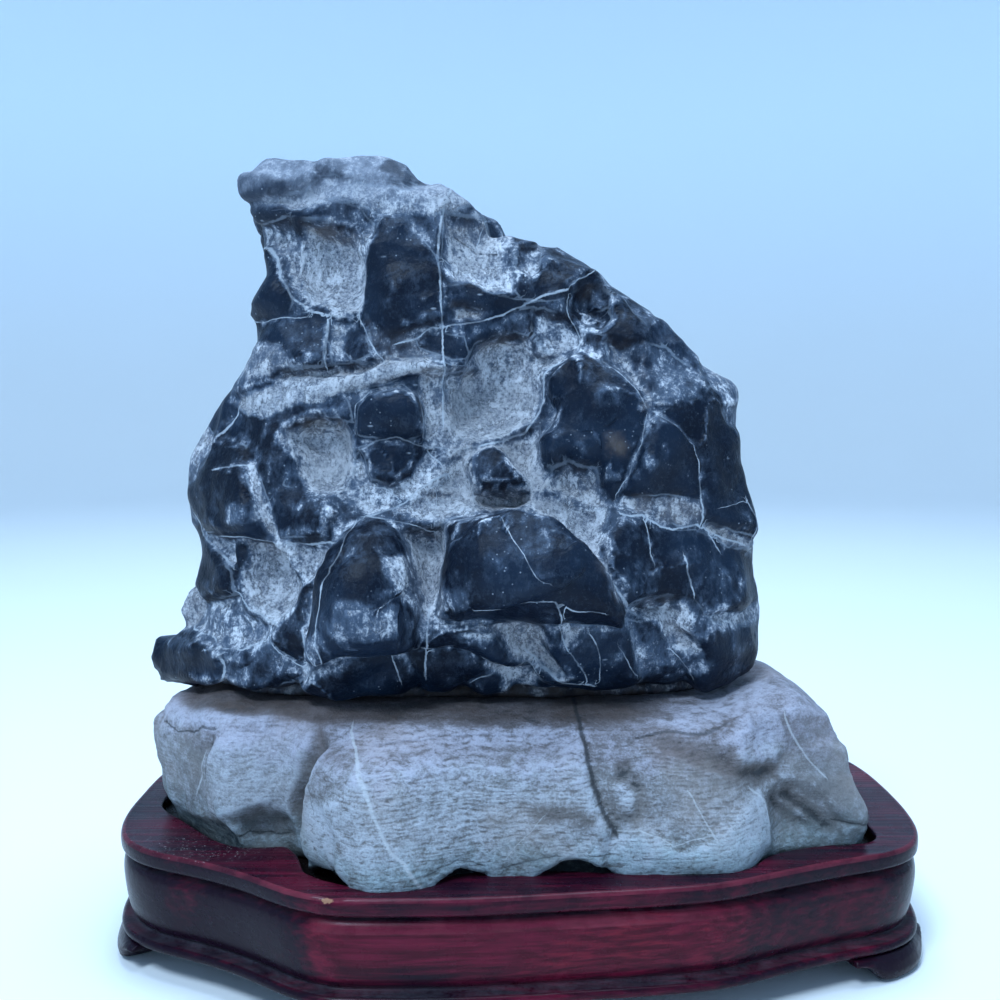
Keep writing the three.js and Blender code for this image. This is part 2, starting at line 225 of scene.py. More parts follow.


# The dark peak's front, as (height, crown, pale, brown, outline): smooth dark swellings stand
# proud and clean, and water-worn hollows are sunk and full of pale dust. Brown marks iron stain,
# and also painted shade under ledges and knobs.
DARK_FRONT_SHAPES = [
    # crown of the peak
    (0.5, 0, 0.62, 0, [(-90, 247), (-80, 244), (-73, 241), (-66, 243), (-60, 246), (-52, 244), (-44, 240),
     (-24, 240), (-14, 243), (-24, 253), (-45, 253), (-72, 253)]),
    (2.5, 2.5, 0.42, 0, [(-98, 249), (-95, 257), (-87, 265), (-74, 265), (-66, 260), (-64, 252),
     (-70, 248), (-80, 246), (-92, 245)]),
    (1.2, 2, 0.45, 0, [(-66, 257), (-60, 264), (-42, 264), (-35, 259), (-29, 251), (-36, 248), (-48, 250),
     (-60, 253)]),
    (2.4, 1, 0.12, 0, [(-44, 259), (-39, 264), (-32, 256), (-29, 251), (-42, 251), (-46, 254)]),
    (1, 0.6, 0.28, 0, [(-90, 244), (-80, 244.5), (-73, 242), (-62, 245), (-52, 243), (-46, 237),
     (-47, 231), (-52, 236), (-62, 239), (-72, 240), (-80, 239), (-88, 237)]),
    # upper left
    (-2, 0, 0.5, 0.1, [(-90, 238), (-74, 240), (-70, 236), (-70, 214), (-75, 217), (-79, 226),
     (-88, 231)]),
    (-5, 0, 0.92, 0, [(-71, 239), (-60, 238), (-51, 236), (-48, 229), (-48, 217), (-51, 209), (-58, 209),
     (-62, 212), (-67, 211), (-71, 220)]),
    (2.5, 1.5, 0.05, 0, [(-48, 231), (-43, 239), (-36, 238), (-30, 231), (-26, 226), (-24, 219),
     (-24, 205), (-32, 203), (-41, 200), (-49, 206), (-49, 216)]),
    (2, 1.5, 0, 0, [(-92, 232), (-82, 230), (-79, 226), (-77, 219), (-73, 212), (-75, 207), (-95, 206),
     (-95, 213), (-92, 220)]),
    (1.5, 1, 0.08, 0, [(-94, 206), (-62, 207), (-62, 191), (-73, 191), (-76, 197), (-86, 199),
     (-94, 201)]),
    (0, 0, 0.5, 0, [(-61, 206), (-52, 206), (-48, 200), (-42, 192), (-50, 190), (-60, 190)]),
    (0.8, 0.5, 0.2, 0, [(-55, 205), (-51, 205), (-47, 195), (-53, 192), (-57, 196)]),
    (1, 1.5, 0.5, 0.15, [(-97, 197), (-85, 199), (-76, 197), (-73, 191), (-78, 188), (-88, 186),
     (-97, 189)]),
    (-0.5, 0, 0.25, 0.3, [(-49, 206), (-41, 201), (-32, 204), (-24, 206), (-24, 194), (-33, 193),
     (-42, 192), (-47, 197)]),
    (0.8, 0.5, 0.06, 0, [(-33, 201), (-24, 202), (-17, 200), (-16, 194), (-21, 193), (-31, 197)]),
    # upper middle and right
    (-4.5, 0, 0.8, 0, [(-24, 241), (-15, 240), (-5, 241), (-2, 233), (0, 224), (0, 215), (-8, 214),
     (-15, 217), (-20, 219), (-24, 226)]),
    (1.2, 1.5, 0.1, 0, [(-9, 244), (0, 237), (15, 236), (32, 224), (26, 218), (18, 214), (10, 212),
     (3, 211), (-1, 217), (0, 225), (-3, 234)]),
    (-0.5, 0, 0.5, 0.1, [(1, 230), (8, 231), (8, 222), (5, 219), (0, 223)]),
    (0.7, 0.6, 0.22, 0, [(30, 224), (44, 215), (56, 205), (64, 191), (56, 190), (49, 196), (44, 203),
     (38, 210), (30, 215)]),
    (1.2, 0.6, 0.02, 0, [(-23, 217), (-16, 218), (-4, 213), (5, 212), (0, 209), (-9, 208), (-17, 206),
     (-23, 209)]),
    (-1, 0, 0.6, 0.7, [(-21, 210), (-16, 211), (-10, 208), (-12, 206), (-20, 206)]),
    (0, 0, 0.3, 0, [(0, 209), (6, 210), (5, 203), (9, 197), (0, 202), (-8, 203), (-12, 205)]),
    (-2.5, 0, 0.55, 0, [(5, 209), (9, 210), (17, 208), (21, 201), (20, 196), (15, 194), (10, 197),
     (6, 202)]),
    (1, 0.8, 0.08, 0, [(16, 215), (24, 221), (33, 216), (38, 211), (41, 206), (42, 200), (37, 199),
     (29, 201), (20, 203)]),
    (-4, 0, 0, 0, [(17, 212), (19, 216), (25, 218), (31, 213), (32, 207), (28, 203), (21, 205),
     (18, 209)]),
    (-3, 0, 0.5, 0, [(21, 210), (25, 210), (28, 207), (24, 204), (20, 206)]),
    (-2, 0, 0.4, 0, [(25, 218), (28, 218), (32, 214), (31, 211), (27, 212)]),
    (-2, 0, 0.42, 0.1, [(29, 200), (40, 199), (41, 190), (40, 183), (36, 186), (30, 192)]),
    (1, 1, 0.3, 0, [(43, 198), (50, 196), (57, 191), (61, 187), (58, 180), (50, 178), (44, 180),
     (43, 190)]),
    (1, 1, 0.42, 0, [(60, 192), (72, 193), (79, 186), (79, 168), (71, 172), (68, 177), (65, 183)]),
    # central hollow and what stands round it
    (0, 0, 0.58, 0.1, [(-31, 190), (-22, 190), (-22, 176), (-18, 168), (-10, 165), (-17, 160), (-24, 160),
     (-30, 168), (-30, 176), (-32, 183)]),
    (-6, 0, 0.85, 0, [(-23, 190), (-17, 191), (-14, 198), (-4, 203), (4, 201), (9, 196), (16, 194),
     (9, 189), (9, 180), (6, 174), (-2, 169), (-12, 166), (-20, 168), (-23, 175)]),
    (-3, 0, 0.25, 0, [(-23, 189), (-17, 189), (-18, 184), (-23, 183)]),
    (2, 2, 0.03, 0, [(50, 178), (58, 180), (64, 184), (67, 177), (70, 172), (79, 168), (80, 156),
     (78, 152), (83, 148), (85, 138), (83, 130), (70, 134), (63, 138), (60, 142), (59, 160), (53, 169),
     (46, 176)]),
    (-3.5, 0, 0.75, 0, [(-33, 151), (-24, 160), (-16, 164), (-9, 167), (-2, 169), (8, 172), (8, 160),
     (12, 157), (8, 151), (30, 147), (28, 139), (25, 131), (14, 140), (3, 146), (-15, 144), (-22, 142),
     (-30, 142), (-40, 145)]),
    (2.5, 4, 0.03, 0, [(9, 188), (15, 192), (21, 195), (27, 193), (30, 190), (36, 186), (40, 182),
     (42, 176), (42, 170), (39, 163), (35, 155), (31, 149), (27, 153), (26, 158), (16, 160), (13, 157),
     (8, 160), (7, 167), (12, 171), (14, 176), (11, 182)]),
    (-3, 0, 0.55, 0.2, [(12, 158), (17, 160), (26, 158), (28, 150), (30, 147), (24, 146), (16, 148),
     (9, 152)]),
    (3, 1.5, 0.04, 0, [(44, 175), (50, 171), (56, 165), (59, 159), (59, 148), (50, 149), (40, 150),
     (34, 150), (37, 158), (40, 166)]),
    (0.5, 0, 0.5, 0.5, [(34, 150), (46, 150), (59, 148), (60, 141), (52, 140), (46, 141), (40, 144),
     (33, 147)]),
    (1, 0, 0.55, 0.4, [(60, 141), (70, 138), (80, 133), (76, 131), (68, 133), (62, 137)]),
    (4.5, 1.2, 0.2, 0, [(-16, 160), (-13, 163), (-8, 165), (-4, 163), (0, 158), (4, 154), (4, 151),
     (-4, 150.5), (-14, 151), (-15, 155)]),
    # painted shadow under the knob above
    (-4.5, 0, 0.35, 0.8, [(-15, 151), (4, 151), (4, 148), (-1, 146), (-12, 146)]),
    # painted shadow, a brown streak under a ledge
    (-4, 0, 0.2, 0.9, [(-31, 151.5), (-20, 152.5), (-20, 150), (-30, 149.5)]),
    # left middle
    (-1, 0, 0.55, 0, [(-50, 164), (-40, 167), (-28, 164), (-22, 156), (-30, 150), (-40, 145), (-48, 143),
     (-57, 150), (-55, 158)]),
    (2.5, 2, 0.06, 0, [(-50, 165), (-44, 167), (-34, 167), (-30, 163), (-34, 156), (-40, 152),
     (-47, 155)]),
    (4, 2.5, 0.02, 0, [(-50, 169), (-50, 177), (-47, 181), (-38, 184), (-33, 182), (-31, 176), (-30, 169),
     (-36, 167), (-44, 168)]),
    (1, 1.5, 0.12, 0, [(-96, 179), (-86, 175), (-76, 176), (-62, 179), (-54, 180), (-52, 173), (-65, 175),
     (-75, 171), (-72, 160), (-75, 152), (-60, 148), (-57, 143), (-60, 136), (-76, 136), (-80, 148),
     (-88, 160), (-100, 168)]),
    # a pale ledge, with dust and painted light on it
    (2, 1, 0.88, 0, [(-97, 180), (-90, 182), (-84, 184), (-75, 187), (-66, 188), (-56, 187), (-44, 191),
     (-33, 194), (-24, 192), (-12, 190), (-24, 188), (-33, 188), (-40, 186), (-50, 183), (-58, 181),
     (-68, 179), (-78, 176), (-86, 175), (-92, 178)]),
    # painted shade, a brown band under the pale ledge
    (-2.5, 0, 0.35, 0.8, [(-77, 190), (-64, 191), (-50, 192), (-42, 194), (-33, 195), (-44, 191),
     (-56, 187), (-66, 188), (-80, 187)]),
    (-5, 0, 0.82, 0, [(-76, 170), (-72, 173), (-64, 175), (-57, 174), (-53, 170), (-52, 160), (-55, 152),
     (-60, 150), (-67, 151), (-71, 158)]),
    # painted shade at the top of the oval hollow
    (-4, 0, 0.4, 0.9, [(-74, 172), (-64, 175), (-56, 173), (-58, 170), (-70, 169)]),
    (1, 0.5, 0.05, 0, [(-113, 167), (-103, 182), (-95, 192), (-95, 180), (-101, 169)]),
    (1, 1, 0.5, 0.1, [(-118, 160), (-106, 171), (-100, 166), (-104, 160), (-108, 152), (-118, 151)]),
    (2, 2, 0.05, 0, [(-101, 168), (-90, 165), (-86, 160), (-82, 148), (-80, 138), (-90, 136), (-102, 136),
     (-108, 142), (-113, 150), (-107, 152), (-103, 160)]),
    (2, 1.5, 0.02, 0, [(-118, 150), (-110, 142), (-103, 134), (-97, 128), (-92, 124), (-92, 116),
     (-100, 113), (-107, 108), (-114, 118), (-114, 138)]),
    # lower left
    (0, 0, 0.38, 0, [(-107, 112), (-100, 114), (-91, 117), (-88, 110), (-82, 108), (-78, 106), (-84, 101),
     (-96, 98), (-104, 101), (-108, 105)]),
    (0, 0, 0.65, 0.3, [(-126, 98), (-118, 107), (-113, 119), (-107, 114), (-107, 108), (-110, 102),
     (-116, 100)]),
    (-1, 0, 0.6, 0, [(-102, 135), (-92, 134), (-91, 126), (-95, 127), (-100, 131)]),
    (-2, 0, 0.72, 0, [(-75, 134), (-58, 134), (-61, 129), (-66, 121), (-70, 126)]),
    (-5, 0, 0.86, 0, [(-91, 135), (-79, 134), (-76, 131), (-72, 128), (-69, 121), (-71, 114), (-77, 109),
     (-82, 110), (-88, 116), (-90, 122), (-88, 128)]),
    (1, 0, 0.02, 0, [(-92, 134), (-89, 133.5), (-86, 129), (-88, 126), (-91, 128)]),
    (0.5, 0, 0.62, 0.1, [(-88, 161), (-84, 160), (-80, 148), (-78, 140), (-70, 128), (-68, 123),
     (-73, 128), (-80, 136), (-84, 146)]),
    (-5, 0, 0.86, 0, [(-36, 139), (-20, 141), (-21, 131), (-24, 122), (-27, 113), (-30, 116), (-32, 122),
     (-33, 130)]),
    (3, 2, 0.06, 0, [(-79, 103), (-76, 109), (-70, 115), (-67, 122), (-64, 123), (-64, 112), (-66, 101),
     (-68, 95), (-74, 99)]),
    (3.5, 6, 0.02, 0, [(-48, 143), (-42, 142), (-38, 139), (-34, 134), (-33, 127), (-30, 119), (-30, 104),
     (-40, 104), (-50, 103), (-60, 99), (-66, 101), (-64, 112), (-63, 123), (-60, 131), (-55, 138)]),
    # lower middle and right
    (2, 1.5, 0.06, 0, [(26, 131), (30, 139), (34, 143), (40, 142), (46, 138), (58, 139), (66, 134),
     (77, 130), (86, 126), (88, 116), (80, 112), (70, 110), (60, 111), (56, 117), (48, 118), (40, 117),
     (34, 115), (30, 120)]),
    (-0.5, 0, 0.5, 0, [(60, 110), (68, 112), (76, 113), (88, 113), (88, 106), (76, 107), (68, 108)]),
    (2, 2, 0.03, 0, [(61, 109), (70, 107), (76, 106), (90, 106), (90, 90), (76, 84), (58, 86), (57, 92),
     (61, 98), (57, 105)]),
    (-3.5, 0, 0.82, 0.1, [(35, 114), (42, 117), (51, 117), (54, 112), (54, 107), (60, 100), (55, 99),
     (50, 101), (47, 105), (45, 110), (40, 111)]),
    (1, 0.5, 0.25, 0, [(34, 112), (39, 110), (45, 109), (47, 104), (51, 100), (57, 90), (41, 89), (38, 98),
     (37, 105)]),
    (3.5, 2, 0.05, 0, [(-31, 112), (-10, 112), (12, 111), (30, 111), (34, 112), (36, 106), (38, 98),
     (40, 90), (30, 88), (14, 89), (6, 92), (-4, 96), (-10, 99), (-20, 102), (-31, 103)]),
    (5, 7, 0.02, 0, [(-23, 140), (-19, 142), (-10, 143), (0, 144), (7, 142), (12, 140), (18, 135),
     (25, 129), (29, 121), (33, 113), (30, 111), (10, 112), (-10, 112), (-25, 112), (-24, 120),
     (-23, 130)]),
    (-0.5, 0, 0.8, 0.2, [(-7, 110), (0, 111), (9, 110), (9, 104), (12, 99), (16, 95), (10, 94), (4, 96),
     (-1, 99), (-4, 103)]),
    (3, 0, 0.6, 0, [(-18, 108), (-10, 108), (-6, 107), (-8, 105.5), (-17, 106.5)]),
    (1.5, 0, 0.5, 0.1, [(13, 110), (20, 110), (20, 108), (15, 104), (13.5, 107)]),
    # along the bottom edge
    (0, 0, 0.55, 0, [(-10, 99), (-2, 96), (5, 96), (8, 92), (4, 88), (-3, 88), (-8, 94)]),
    (3, 2, 0.04, 0, [(-16, 90), (-9, 95), (-6, 94), (-1, 88), (-4, 85), (-12, 85)]),
    (2.5, 2, 0.04, 0, [(-31, 103), (-20, 103), (-10, 99), (-9, 95), (-16, 90), (-22, 87), (-30, 88),
     (-34, 94), (-36, 103)]),
    (3.5, 3, 0.03, 0, [(-66, 94), (-60, 99), (-50, 103), (-40, 104), (-36, 99), (-31, 91), (-36, 86),
     (-50, 85), (-64, 87), (-72, 90)]),
    (1.5, 1.5, 0.2, 0, [(-94, 96), (-88, 98), (-79, 102), (-72, 98), (-66, 94), (-72, 89), (-80, 88),
     (-92, 86), (-97, 90)]),
    (2.5, 1, 0.08, 0.1, [(-80, 87), (-75, 89.5), (-70, 88), (-68, 83), (-80, 83)]),
    (3, 3, 0, 0, [(-133, 88), (-130, 94), (-122, 98), (-114, 101), (-108, 102), (-100, 100), (-96, 97),
     (-95, 92), (-98, 84), (-112, 82), (-124, 83)]),
]

# Stains of the dark peak's front that change no height, as (pale, brown, outline).
DARK_FRONT_STAINS = [
    (0.25, 0.9, [(29, 168), (35, 167), (36, 161), (30, 160)]),
    (0.55, 0, [(-44, 124), (-36, 133), (-33, 128), (-31, 116), (-34, 115), (-40, 119)]),
    (0.6, 1, [(40, 198), (42, 198), (43, 187), (42, 176), (40.5, 176), (42, 187), (40, 192)]),
    (0.5, 0.7, [(22, 128), (25, 129), (29, 121), (28, 118), (25, 122)]),
    (0.45, 0, [(-92, 146), (-84, 148), (-82, 143), (-86, 139), (-92, 141)]),
    # painted shade along the peak's undercut lower edge, with brown stain
    (0.12, 0.7, [(-112, 88.5), (-60, 87.5), (-10, 86.5), (30, 87), (70, 86), (78, 80), (-112, 80)]),
]

# White calcite veins of the dark peak's front, as (width, route).
DARK_FRONT_VEINS = [
    (1, [(-88, 232), (-82, 230.5), (-79, 226.5), (-77, 220), (-74, 214), (-71, 212), (-68, 209),
     (-61, 207.5)]),
    (0.9, [(-61.5, 207.5), (-62, 200), (-61.5, 191)]),
    (0.6, [(-61, 207.5), (-54, 207), (-51, 204.5)]),
    (0.5, [(-90, 206), (-82, 206), (-74, 207), (-61, 207.5)]),
    (0.6, [(-51, 213), (-51, 206), (-48, 199), (-42, 191.5)]),
    (1.1, [(-22, 250), (-24, 242), (-25, 232), (-25, 222), (-24.5, 210)]),
    (0.8, [(-24.5, 210), (-24, 200), (-24, 190), (-23.5, 172)]),
    (0.4, [(-26, 152), (-26, 140), (-26.5, 128)]),
    (1, [(-27, 118), (-28, 110), (-28, 104), (-29, 94)]),
    (0.8, [(-38, 198), (-32, 200), (-28, 203), (-20, 204), (-12, 205), (-6, 207), (0, 210), (8, 213),
     (17, 215)]),
    (0.5, [(-9, 242), (-10, 238), (-12, 232)]),
    (0.6, [(-25, 226), (-19, 223)]),
    (0.5, [(17, 215), (20, 219), (25, 221)]),
    (0.5, [(17, 213), (16.5, 209), (19, 204), (21, 200), (20, 196)]),
    (0.6, [(29, 192), (33, 188), (38, 184), (41, 178)]),
    (0.9, [(9, 188), (11, 190.5), (15, 192)]),
    (0.8, [(-30, 165), (-20, 164), (-12, 165), (-5, 167), (3, 170), (8, 176), (9, 181), (9, 188)]),
    (0.5, [(-51, 169), (-51, 178), (-46, 183), (-37, 185), (-32, 181), (-30.5, 174), (-30, 168)]),
    (0.7, [(-50, 164), (-45, 167), (-38, 168), (-30, 165), (-25, 160), (-22, 156.5)]),
    (0.8, [(-22, 157), (-30, 152), (-35, 148), (-40, 145), (-48, 143)]),
    (0.5, [(-35, 146), (-42, 152), (-48, 153), (-55, 150)]),
    (0.5, [(-48, 143), (-42, 142), (-36, 141), (-27, 139)]),
    (0.9, [(-98, 157), (-88, 158.5)]),
    (0.6, [(-100, 168), (-96, 174), (-93, 179)]),
    (0.7, [(-108, 142), (-105, 136), (-99, 130), (-92, 125)]),
    (0.6, [(-102, 134.5), (-90, 135.5), (-79, 134)]),
    (0.8, [(-73, 134.3), (-58, 134.5)]),
    (0.8, [(-91, 117), (-86, 112), (-80, 109), (-76, 108.5)]),
    (0.6, [(-110, 102.5), (-100, 101), (-96, 98.5), (-101, 97)]),
    (0.5, [(-96, 98), (-88, 99), (-80, 103), (-78, 106)]),
    (0.9, [(-96, 97), (-95, 93), (-97, 86)]),
    (0.6, [(-51, 141), (-53, 135), (-53.5, 130), (-56, 126), (-57, 120), (-57, 110), (-58, 103)]),
    (0.6, [(-63, 123), (-64, 114), (-65, 110)]),
    (1, [(-67, 108), (-66, 100), (-67, 95)]),
    (0.6, [(-64, 109), (-61, 105), (-60, 102)]),
    (0.5, [(-78, 102), (-74, 98), (-70, 95.5), (-67, 95)]),
    (0.8, [(-60, 99.5), (-50, 104), (-42, 104), (-34, 103), (-30, 102.5), (-20, 104)]),
    (0.6, [(-40, 102), (-38, 96), (-37, 92.5)]),
    (0.4, [(-19, 141), (-12, 142), (-6, 140), (0, 136), (4, 131), (6, 128), (9, 125)]),
    (0.5, [(-13, 117.5), (0, 117.5), (10, 118), (14, 116.5), (23, 116)]),
    (0.6, [(11, 117), (13, 111), (14, 106), (18, 101), (21, 96), (22, 92)]),
    (0.5, [(22, 108), (25, 100), (26, 93)]),
    (0.9, [(3, 100), (8, 95), (15, 92.5), (24, 91)]),
    (0.6, [(-10, 99.5), (-2, 97), (3, 97), (7, 93)]),
    (0.5, [(-14, 91), (-10, 93.5), (-7, 94.5)]),
    (0.5, [(31, 104.5), (34, 100), (38, 93)]),
    (0.9, [(24, 130), (29, 122), (34, 115), (37, 113)]),
    (0.9, [(33, 144), (36, 143), (40, 143.5), (46, 139.5), (50, 138.5), (58, 140), (64, 136.5), (72, 133),
     (78, 130.5)]),
    (0.6, [(40, 143), (41, 136), (43, 128)]),
    (0.5, [(60, 140), (64, 134), (66, 131)]),
    (0.7, [(59.5, 141), (59, 150), (57.5, 160), (54, 166), (50, 171), (45, 175)]),
    (0.3, [(64, 145), (73, 146)]),
    (0.7, [(53, 130), (54, 124), (56, 118)]),
    (0.5, [(50, 100), (54, 96), (57, 92)]),
    (0.5, [(42, 174), (40, 166), (36, 156), (32, 150)]),
    (0.4, [(74, 147), (76, 140), (76, 133)]),
]


# How far the peak's two side edges are moved out, as (height, mm).
DARK_LEFT_TRIM = [(84, 4), (88, 8), (92, 8.5), (96, 3.5), (100, 0.8), (105, 5), (112, 4.2), (119, 0),
    (130, 0), (138, 3.4), (148, 3.6), (155, 3.4), (168, 2.8), (180, 2), (192, 0.8), (198, -1), (209, 3.6),
    (217, 0.4), (228, 1.6), (240, 0), (252, -0.8), (260, 1.5)]
DARK_RIGHT_TRIM = [(92, -1.7), (98, -1.7), (108, 1.2), (120, 0.2), (130, 0.8), (138, -3.6), (146, -4.2),
    (156, -1.2), (173, 1), (185, 2.6), (192, 0), (198, -6.6), (204, -3.4), (210, 0.8), (219, 0.6),
    (229, 4.6), (236, -8), (242, 0.4), (252, -2), (258, 2), (262, 3)]

# How far the crown's top is moved up, as (x, mm).
CROWN_TRIM = [(-96, 0.6), (-91, 0.5), (-86, 0), (-78, -1.6), (-73, -2.2), (-67, -4), (-62, -2.4),
    (-54, -0.4), (-46, 1.2), (-37, 1.6), (-32, -0.6), (-28, -1), (-24, 2.6), (-18, 0), (-10, -1)]

# The pale slab's front, in the same way; `pale` is 1 on its lightest stone.
PALE_FRONT_SHAPES = [
    # left end
    (0, 0, 0.8, 0.1, [(-130, 86), (-130, 36), (-60, 36), (-60, 86)]),
    (0.8, 2, 0.72, 0, [(-128, 69), (-116, 72), (-108, 72), (-102, 66), (-100, 60), (-102, 54), (-106, 50),
     (-112, 46), (-128, 45)]),
    (-1.6, 0, 0.5, 0.15, [(-110, 73), (-104, 72.5), (-97, 75), (-92, 75), (-97, 67), (-101, 58),
     (-104, 53), (-105, 60), (-108, 68)]),
    (1, 1, 0.85, 0.05, [(-99, 66), (-94, 75), (-80, 76), (-66, 77), (-64, 68), (-68, 60), (-69, 52),
     (-76, 54), (-86, 52), (-94, 48), (-102, 52)]),
    (1.6, 0.8, 1, 0, [(-124, 78), (-120, 74), (-111, 72), (-104, 74), (-95, 76), (-86, 77), (-76, 78),
     (-66, 80), (-64, 82.5), (-90, 83.5), (-112, 83.5)]),
    (-4, 0, 0.6, 0.3, [(-90, 50), (-85, 53), (-80, 54), (-75, 52.5), (-71, 51), (-68, 45), (-69, 36),
     (-87, 36)]),
    (-2.5, 0, 0.12, 0, [(-113, 42), (-104, 45), (-100, 47.5), (-94, 48.5), (-91, 47), (-88, 44), (-85, 36),
     (-100, 36), (-113, 39)]),
    # the crease left of the front block, and the block
    (-4.5, 0, 0.5, 0.25, [(-62, 79), (-66, 70), (-69, 60), (-70, 52), (-69, 43), (-62, 43), (-62, 53),
     (-61, 60), (-59, 68), (-55, 79)]),
    (4.2, 1.5, 0.8, 0, [(-56, 79), (-60, 68), (-62, 60), (-63, 53), (-62, 47), (-61, 41), (-62, 36),
     (20, 36), (27, 44), (28, 54), (24, 62), (21, 72), (19, 80), (-20, 81)]),
    (3.4, 0.8, 0.68, 0.2, [(-56, 79), (-60, 68), (-61, 62), (-56, 60), (-48, 66), (-45, 78)]),
    (3, 3.5, 1, 0, [(-63, 57), (-60, 61), (-54, 60), (-50, 54), (-50, 46), (-55, 43), (-61, 42),
     (-64, 48)]),
    # painted shade under the block's overhanging lower edge
    (-4, 0, 0.2, 0.1, [(-60, 36), (-57, 41), (-53, 43), (-50, 44.5), (-47, 42), (-44, 36)]),
    (-2.5, 0, 0.16, 0, [(-28, 36), (-26, 41), (-18, 43.5), (-11, 42), (-8, 36)]),
    (4.2, 0, 0.66, 0.15, [(-40, 76), (-30, 77), (12, 77), (16, 74), (0, 70), (-20, 72), (-34, 73)]),
    # painted shade, the arch gap under the block painted black
    (-7, 0, 0, 0, [(4, 36), (6, 41), (9, 43), (13, 45), (18, 45.5), (22, 43.5), (27, 42), (31, 40.5),
     (33, 36)]),
    # right of the front block's crease
    (-1, 0, 0.7, 0.15, [(21, 81), (22, 72), (25, 62), (29, 54), (44, 51), (57, 52), (66, 56), (76, 60),
     (84, 66), (84, 76), (72, 83), (40, 83)]),
    (-1.5, 0, 0.25, 0.6, [(38, 79.5), (50, 79), (60, 77), (68, 73), (76, 69), (82, 67), (82, 62), (72, 63),
     (64, 66), (54, 70), (42, 75)]),
    (-1.5, 0, 0.45, 0.1, [(28, 74), (34, 74), (39, 68), (39, 58), (36, 54), (30, 55), (27, 62)]),
    (0.8, 1, 0.8, 0, [(28, 66), (32, 67), (35, 63), (34, 58), (30, 58)]),
    (1.5, 1.5, 0.85, 0.1, [(64, 76), (69, 81), (76, 82), (83, 78), (85, 72), (80, 68), (74, 67),
     (67, 69)]),
    (1, 1.5, 1, 0, [(71, 75), (75, 77), (80, 75), (79, 71), (74, 70)]),
    (1, 1.2, 0.95, 0, [(26, 52), (36, 53), (44, 50.5), (50, 48), (58, 51), (66, 58), (74, 62), (77, 54),
     (78, 44), (70, 36), (34, 36), (26, 42)]),
    (-4, 0, 0.6, 0.1, [(76, 58), (80, 62), (86, 62), (92, 59), (99, 53), (105, 50), (103, 43), (90, 41),
     (78, 43)]),
    (-3, 0, 0.12, 0.2, [(80, 59), (86, 60), (94, 54), (101, 48), (102, 44), (96, 45), (90, 50), (84, 55)]),
    (1, 1, 0.4, 0.05, [(90, 61), (98, 63), (110, 62), (118, 52), (118, 42), (108, 44), (102, 50)]),
    (0.8, 1.5, 0.6, 0.1, [(80, 84), (86, 76), (93, 66), (97, 62), (110, 64), (108, 76), (100, 84),
     (90, 90)]),
    (1.5, 1, 0.85, 0, [(36, 81.5), (52, 79.5), (66, 80), (78, 81), (86, 80), (80, 84.5), (60, 83),
     (42, 83)]),
]

# Stains of the slab's front; the first is a painted highlight on a smooth facet.
PALE_FRONT_STAINS = [
    # painted highlight on the block's lower left facet
    (1.05, 0, [(-59, 52), (-60, 57), (-58, 61.5), (-54, 62), (-51, 59), (-50.5, 54), (-53, 51),
     (-56, 50.5)]),
    (0.6, 0.5, [(-58, 76), (-50, 76), (-50, 72), (-57, 71)]),
    (0.5, 0.4, [(-2, 62), (14, 62), (24, 58), (22, 54), (6, 56)]),
]

# Where the brown stain and painted contact shadow round the peak's foot start on the slab's top, as (x,
# y).
SEAM_EDGE = [(-112, -30), (-88, -37), (-60, -45), (-40, -49), (0, -49), (30, -48), (60, -44), (80, -38)]

# Dark cracks of the slab's front, as (width, route).
PALE_FRONT_CRACKS = [
    (0.7, [(-87, 43.3), (-84, 43.9), (-81, 43), (-78, 43.8), (-75, 42.8), (-72, 43.4)]),
    (0.5, [(-28, 44.5), (-24, 45.6), (-20, 46.4), (-15, 46), (-10, 45)]),
    (0.5, [(-4, 44.5), (4, 46), (12, 47)]),
    (0.8, [(100, 48), (106, 47.5), (111, 46), (114, 44)]),
    (0.5, [(22, 47), (27, 46.8)]),
    (0.5, [(37, 46), (42, 46)]),
    (0.7, [(-118, 73), (-112, 71.5), (-106, 73), (-101, 75.5), (-95, 76)]),
    (1.8, [(19, 82), (20.5, 77), (21, 72), (22.5, 66), (25, 60), (27, 55), (29, 52)]),
    (0.5, [(-96, 74), (-98, 66), (-98.5, 60)]),
    (0.4, [(-59, 74), (-60, 68), (-59, 62), (-57, 58)]),
    (0.5, [(36, 79), (46, 80), (56, 79), (66, 79.5)]),
]

# White veins and worn ridges of the slab's front, as (width, route).
PALE_FRONT_VEINS = [
    (1.3, [(-50, 80), (-46, 74), (-44, 68), (-42, 62), (-39, 55), (-35, 49), (-31, 43), (-28, 38)]),
    (0.8, [(-99, 68), (-101, 60), (-104, 53)]),
    (0.6, [(29, 53), (36, 53.5), (41, 52), (46, 49), (52, 51), (57, 52)]),
    (0.8, [(71, 62), (75, 57), (76.5, 50)]),
    (0.7, [(51, 64), (54, 59), (58, 51)]),
    (0.8, [(84, 78), (89, 71), (93, 66), (97, 62)]),
    (0.5, [(-58, 77), (-58.5, 72), (-58, 68)]),
    (0.4, [(-4, 46), (2, 52), (8, 58)]),
]


# ---------------------------------------------------------------- meshes

# How many times values are averaged with their neighbours', to even out facets, to soften the
# relief, and to find the cavities and the fine ridges.
FACET_STEPS = 8
SOFTEN_STEPS = 2
CAVITY_STEPS = 12
RIDGE_STEPS = 3


def add_object(name, data):
    item = bpy.data.objects.new(name, data)
    bpy.context.scene.collection.objects.link(item)
    return item


